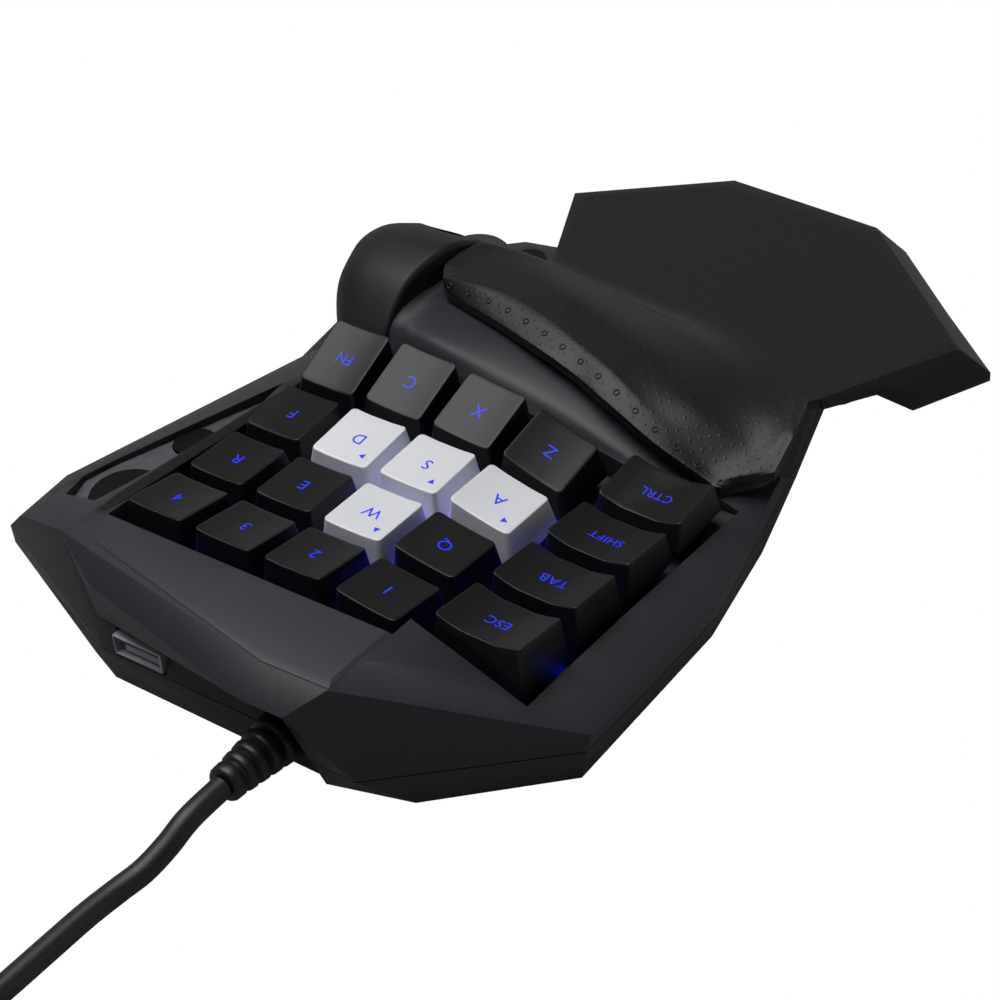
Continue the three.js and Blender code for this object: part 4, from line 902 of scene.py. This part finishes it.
# The lead's route from the housing to the coil, in shares of a box of 150, 200 and 50 mm.
LEAD = np.array([[-0.1427, 0, 0.184], [-0.142, 0.43, 0.168], [-0.138, 0.46, 0.116], [-0.131, 0.49, 0.072],
                 [-0.123, 0.52, 0.056], [-0.119, 0.56, 0.054], [-0.119, 0.61, 0.054], [-0.12, 0.675, 0.056],
                 [-0.12, 0.76, 0.066], [-0.12, 0.82, 0.08], [-0.12, 0.855, 0.088]]) * [150, 200, 50]
LEAD[0, 1] = 0.288 * 200 + 18 + 0.3


def smooth(share):
    return share * share * (3 - 2 * share)


def coil_route():
    """The put-away length: four layers of turns whose radius falls and grows by one pitch a turn, and a
    tail that runs straight off and comes down to the floor."""
    radius0, pitch, rise, steps, turns, layers, lead, tail = 37.5, 7.0, 6.0, 24, 2.4, 4, 12.0, 84.0
    reach, drift = 0.75, 0.3
    start = LEAD[-1] + [0, 0.3, 0]
    centre = np.array([start[0] + radius0, start[1] + lead, 0.0])
    level = LEAD[-1][2]
    radii, heights = [radius0], [level]
    layer_steps = round(turns * steps)
    half = steps // 2
    layer_start = radius0
    for layer in range(layers):
        sense = -1 if layer % 2 == 0 else 1
        index = np.arange(1, layer_steps + 1)
        whole, part = np.floor(index / steps), index / steps - np.floor(index / steps)
        grown = index / steps if layer == 0 else whole + smooth(np.minimum(1, part / reach))
        radii += list(layer_start + sense * pitch * grown)
        heights += [level] * layer_steps
        if layer + 1 < layers:
            share = np.arange(1, half + 1) / half
            last = radii[-1]
            radii += list(last + sense * pitch * drift * share)
            heights += list(level + rise * smooth(share))
            layer_start = last + sense * pitch * drift
            level += rise
    angle = np.arange(len(radii)) * 2 * np.pi / steps
    radii = np.array(radii)
    turns_points = np.stack([centre[0] - radii * np.cos(angle), centre[1] + radii * np.sin(angle),
                             np.array(heights)], -1)
    heading = np.array([math.sin(angle[-1]), math.cos(angle[-1]), 0.0])
    grip = 4.0
    ends = []
    for run, fall in ((0.15, 0), (0.32, 0), (0.5, 0.3), (0.7, 0.85), (0.85, 1), (0.94, 1), (1, 1)):
        point = turns_points[-1] + heading * tail * run
        point[2] += (grip - point[2]) * fall
        ends.append(point)
    return np.vstack([start, start + [0, CORD, 0], turns_points, ends])


def centripetal(points, fine):
    """A centripetal Catmull-Rom line through points, with some steps between each two."""
    padded = np.vstack([2 * points[0] - points[1], points, 2 * points[-1] - points[-2]])
    p0, p1, p2, p3 = padded[:-3], padded[1:-2], padded[2:-1], padded[3:]
    gap = lambda a, b: np.maximum(np.linalg.norm(b - a, axis=1), 1e-6)[:, None, None] ** 0.5
    d0, d1, d2 = gap(p0, p1), gap(p1, p2), gap(p2, p3)
    t = (np.arange(fine) / fine)[None, :, None]
    p0, p1, p2, p3 = (p[:, None, :] for p in (p0, p1, p2, p3))
    m1 = ((p1 - p0) / d0 - (p2 - p0) / (d0 + d1) + (p2 - p1) / d1) * d1
    m2 = ((p2 - p1) / d1 - (p3 - p1) / (d1 + d2) + (p3 - p2) / d2) * d1
    return np.vstack([cubic(p1, p2, m1, m2, t).reshape(-1, 3), points[-1]])


# The strain relief's radius and place along the cable: a collar and ribs with grooves between them.
BOOT = [(0, 56.5), (5.65, 56.5), (5.65, 59.6), (5.5, 61.0), (5.2, 61.3), (4.6, 61.6), (4.6, 62.3),
        (5.0, 62.5), (5.25, 62.9), (5.1, 64.4), (4.85, 64.8), (4.2, 65.1), (4.2, 65.8), (4.6, 66.0),
        (4.85, 66.4), (4.7, 67.8), (4.45, 68.2), (3.85, 68.5), (3.85, 69.1), (4.25, 69.3), (4.5, 69.7),
        (4.35, 71.0), (4.1, 71.4), (3.5, 71.7), (3.5, 72.3), (3.85, 72.5), (4.1, 72.9), (4.0, 74.9),
        (3.7, 75.4), (3.1, 75.55), (0, 75.55)]
BOOT_MIDDLE = (-21.405, 9.2)


class KEYPAD_OT_cable(bpy.types.Operator):
    """The cable with its coil and strain relief"""
    bl_idname = "keypad.cable"
    bl_label = "Cable"

    def execute(self, context):
        jacket = grained("cable_jacket", linear(24, 24, 25), 0.45, 1800.0, 0.02)
        line = np.vstack([centripetal(LEAD, 5), centripetal(coil_route(), 2)[1:]]) + SHIFT
        curve = bpy.data.curves.new("cable", "CURVE")
        curve.dimensions = "3D"
        curve.bevel_depth = CORD / 2 * MM
        curve.bevel_resolution = 4
        curve.use_fill_caps = True
        spline = curve.splines.new("POLY")
        spline.points.add(len(line) - 1)
        spline.points.foreach_set("co", np.hstack([line * MM, np.ones((len(line), 1))]).ravel())
        cable = in_scene("cable", curve)
        curve.materials.append(jacket)
        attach(cable, "housing")
        rubber = grained("relief_rubber", linear(22, 22, 23), 0.42, 1500.0, 0.02)
        points, faces = lathe(BOOT, BOOT_MIDDLE)
        relief = finish_piece("cable_boot", "housing", rubber, merged(points + SHIFT, faces, "boot"), 60)
        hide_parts("strain_relief")
        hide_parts("cable_lead", "cable_coil")
        return {"FINISHED"}


PLATE_LAMP, FAR_LAMP, PALE_LAMP = 16.0, 18.0, 150.0


def lamp_level(name):
    """The lamps by the pale caps are the strongest, those seen past esc, tab, q and a a little stronger."""
    if name in ("w", "s", "d"):
        return PALE_LAMP
    return FAR_LAMP if name in ("esc", "tab", "q", "a") else PLATE_LAMP


def legend_size(name):
    return 4.3 if len(name) == 1 else (3.6 if len(name) < 4 else 3.3)


class KEYPAD_OT_keys(bpy.types.Operator):
    """The twenty caps and their legends"""
    bl_idname = "keypad.keys"
    bl_label = "Keys"

    def execute(self, context):
        settings = context.scene.keypad_keys
        black = grained("cap_black", settings.black, 0.36, 3000.0, 0.015, Specular_IOR_Level=0.3)
        silver = grained("cap_silver", settings.silver, 0.38, 3000.0, 0.015, 0.03, Metallic=0.1)
        glow = lit("legend_glow", settings.glow, 0.95, 0.1)
        lamps = {level: lit(f"lamp_{level:.0f}", settings.glow, level, 0.5)
                 for level in (PLATE_LAMP, FAR_LAMP, PALE_LAMP)}
        for key in key_list():
            name = key["name"]
            body = f"{name}_key"
            pale = name in PALE
            cap = finish_piece(f"cap_{name}", body, silver if pale else black, cap_mesh(key), 50)
            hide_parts(f"key_{name}")
            legend = finish_piece(f"legend_{name}", body, glow,
                                  legend_mesh(key, name.upper(), legend_size(name)))
            if pale:
                mark = finish_piece(f"mark_{name}", body, glow, arrow_mesh(key, "adws".index(name)))
            lamp = finish_piece(f"lamp_{name}", "housing", lamps[lamp_level(name)],
                                lamp_mesh(key, name not in ("z", "shift", "ctrl")))
        return {"FINISHED"}


SOCKET_LOW, SOCKET_HIGH = np.array([11.25, 43.0, 10.3]), np.array([25.05, 57.1, 15.5])
TONGUE_LOW, TONGUE_HIGH = np.array([12.5, 43.6, 11.6]), np.array([22.4, 56.2, 13.4])


class KEYPAD_OT_housing(bpy.types.Operator):
    """The shells with rounded edges, the panel's face, the strip's rim, the hump, the shelf and the socket"""
    bl_idname = "keypad.housing"
    bl_label = "Housing"

    def execute(self, context):
        settings = context.scene.keypad_housing
        charcoal = grained("shell_charcoal", settings.charcoal, 0.46, 2000.0, 0.035, Specular_IOR_Level=0.38)
        # the top shell with a band of painted shade round the strip
        painted_shade_band = grained("shell_banded", settings.charcoal, 0.46, 2000.0, 0.035, painted_shade=strip_painted_shade,
                         Specular_IOR_Level=0.38)
        # the hump wears a darker copy of the charcoal that the shelf wears: painted shade on the same plastic
        shade = grained("hump_charcoal", linear(27, 27, 30), 0.5, 2000.0, 0.035, Specular_IOR_Level=0.3)
        edge = grained("rim_black", linear(9, 9, 10), 0.55, 2400.0, 0.02, Specular_IOR_Level=0.25)
        dark = grained("shell_dark", linear(26, 26, 29), 0.5, 2000.0, 0.035)
        panel = grained("panel_grey", linear(50, 49, 55), 0.34, 2600.0, 0.015)
        metal = grained("socket_metal", linear(176, 178, 184), 0.34, 900.0, 0.01, 0.05, Metallic=0.4)
        for node, material, width, slot in (("top_shell", painted_shade_band, settings.edge, "charcoal_plastic"),
                                            ("bottom_shell", dark, settings.edge, "dark_plastic"),
                                            ("rear_panel", panel, 0.2, "panel_plastic")):
            piece = finish_piece(f"{node}_skin", "housing", material, softened(node, width), 30)
            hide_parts(node)
        rim = finish_piece("strip_rim", "housing", edge, rim_mesh(), 60)
        film = finish_piece("panel_film", "housing", panel, film_mesh(), 20)
        hump = finish_piece("thumb_hump", "housing", shade, cut_by(hump_mesh(), cove_mesh()), 40)
        band = finish_piece("thumb_shelf", "housing", charcoal, shelf_mesh(), 40)
        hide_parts("thumb_housing")
        low, high = SOCKET_LOW + SHIFT, SOCKET_HIGH + SHIFT
        inner = rounded_block(low + [0.45, 0.5, 0.45], high + [-0.45, 3.0, -0.45], 0.25)
        shell = cut_by(rounded_block(low, high, 0.5), inner)
        socket = finish_piece("socket_shell", "housing", metal, shell, 35)
        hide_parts("usb_shell")
        pale = grained("tongue_grey", linear(150, 150, 156), 0.5, 1600.0, 0.02)
        block = rounded_block(TONGUE_LOW + SHIFT, TONGUE_HIGH + SHIFT, 0.25)
        tongue = finish_piece("socket_tongue", "housing", pale, block, 35)
        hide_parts("usb_tongue")
        return {"FINISHED"}


class KEYPAD_OT_palm_rest(bpy.types.Operator):
    """The rubber pad with its ring studs, and the carrier under it"""
    bl_idname = "keypad.palm_rest"
    bl_label = "Palm rest"

    def execute(self, context):
        rubber = dotted("pad_rubber", linear(19, 19, 19), linear(26, 26, 27))
        stud = grained("stud_rubber", linear(16, 16, 17), 0.5, 2200.0, 0.02)
        dark = grained("carrier_dark", linear(27, 27, 29), 0.5, 2000.0, 0.035)
        pad = finish_piece("palm_skin", "palm_rest", rubber, palm_mesh(), 40)
        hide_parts("palm_pad")
        studs = finish_piece("palm_studs", "palm_rest", stud, stud_mesh(), 60)
        carrier = finish_piece("carrier_skin", "palm_rest", dark, carrier_mesh(), 30)
        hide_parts("palm_carrier")
        return {"FINISHED"}


class KEYPAD_OT_finishes(bpy.types.Operator):
    """Materials for the nodes that are shown as they are"""
    bl_idname = "keypad.finishes"
    bl_label = "Finishes"

    def execute(self, context):
        rubber = grained("soft_rubber", linear(38, 38, 40), 0.7, 1600.0, 0.06)
        dark = grained("inner_dark", linear(20, 20, 22), 0.6)
        gloss = grained("button_black", linear(9, 9, 10), 0.34, 3000.0, 0.01, Specular_IOR_Level=0.25)
        metal = grained("bright_metal", linear(190, 192, 196), 0.25, 900.0, 0.01, 0.05, Metallic=1.0)
        steel = grained("screw_steel", linear(140, 142, 146), 0.35, 900.0, 0.01, 0.05, Metallic=1.0)
        board = grained("board_green", linear(20, 74, 48), 0.5)
        strip = brushed("strip_metal", linear(104, 104, 109))
        chosen = {"strip_plate": strip, "key_plate": dark, "main_board": board, "thumb_board": board,
                  "stick_base": dark, "stick_gimbal": dark, "stick_ring": gloss, "thumb_stick": rubber,
                  "thumb_button": gloss, "home_button": gloss, "mode_button": gloss, "coil_tie": gloss,
                  "plug_overmould": rubber, "usb_plug": metal}
        for name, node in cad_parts.items():
            material = chosen.get(name) or (rubber if name.startswith("foot") else steel)
            node.data.materials.clear()
            node.data.materials.append(material)
        return {"FINISHED"}


class KEYPAD_PT_panel(bpy.types.Panel):
    """The keypad's pieces in the sidebar"""
    bl_label = "Keypad"
    bl_idname = "KEYPAD_PT_panel"
    bl_space_type = "VIEW_3D"
    bl_region_type = "UI"
    bl_category = "Keypad"

    def draw(self, context):
        for operator in OPERATORS:
            self.layout.operator(operator.bl_idname)


SETTINGS = {"keypad_keys": KeySettings, "keypad_housing": HousingSettings, "keypad_stage": StageSettings}
OPERATORS = [KEYPAD_OT_stage, KEYPAD_OT_cable, KEYPAD_OT_finishes, KEYPAD_OT_housing,
             KEYPAD_OT_palm_rest, KEYPAD_OT_keys]
CLASSES = list(SETTINGS.values()) + OPERATORS + [KEYPAD_PT_panel]


def register():
    for item in CLASSES:
        bpy.utils.register_class(item)
    for name, group in SETTINGS.items():
        setattr(bpy.types.Scene, name, bpy.props.PointerProperty(type=group))


def unregister():
    for name in SETTINGS:
        delattr(bpy.types.Scene, name)
    for item in reversed(CLASSES):
        bpy.utils.unregister_class(item)


def main():
    register()
    for operator in OPERATORS:
        group, name = operator.bl_idname.split(".")
        getattr(getattr(bpy.ops, group), name)()


if __name__ == "__main__":
    main()
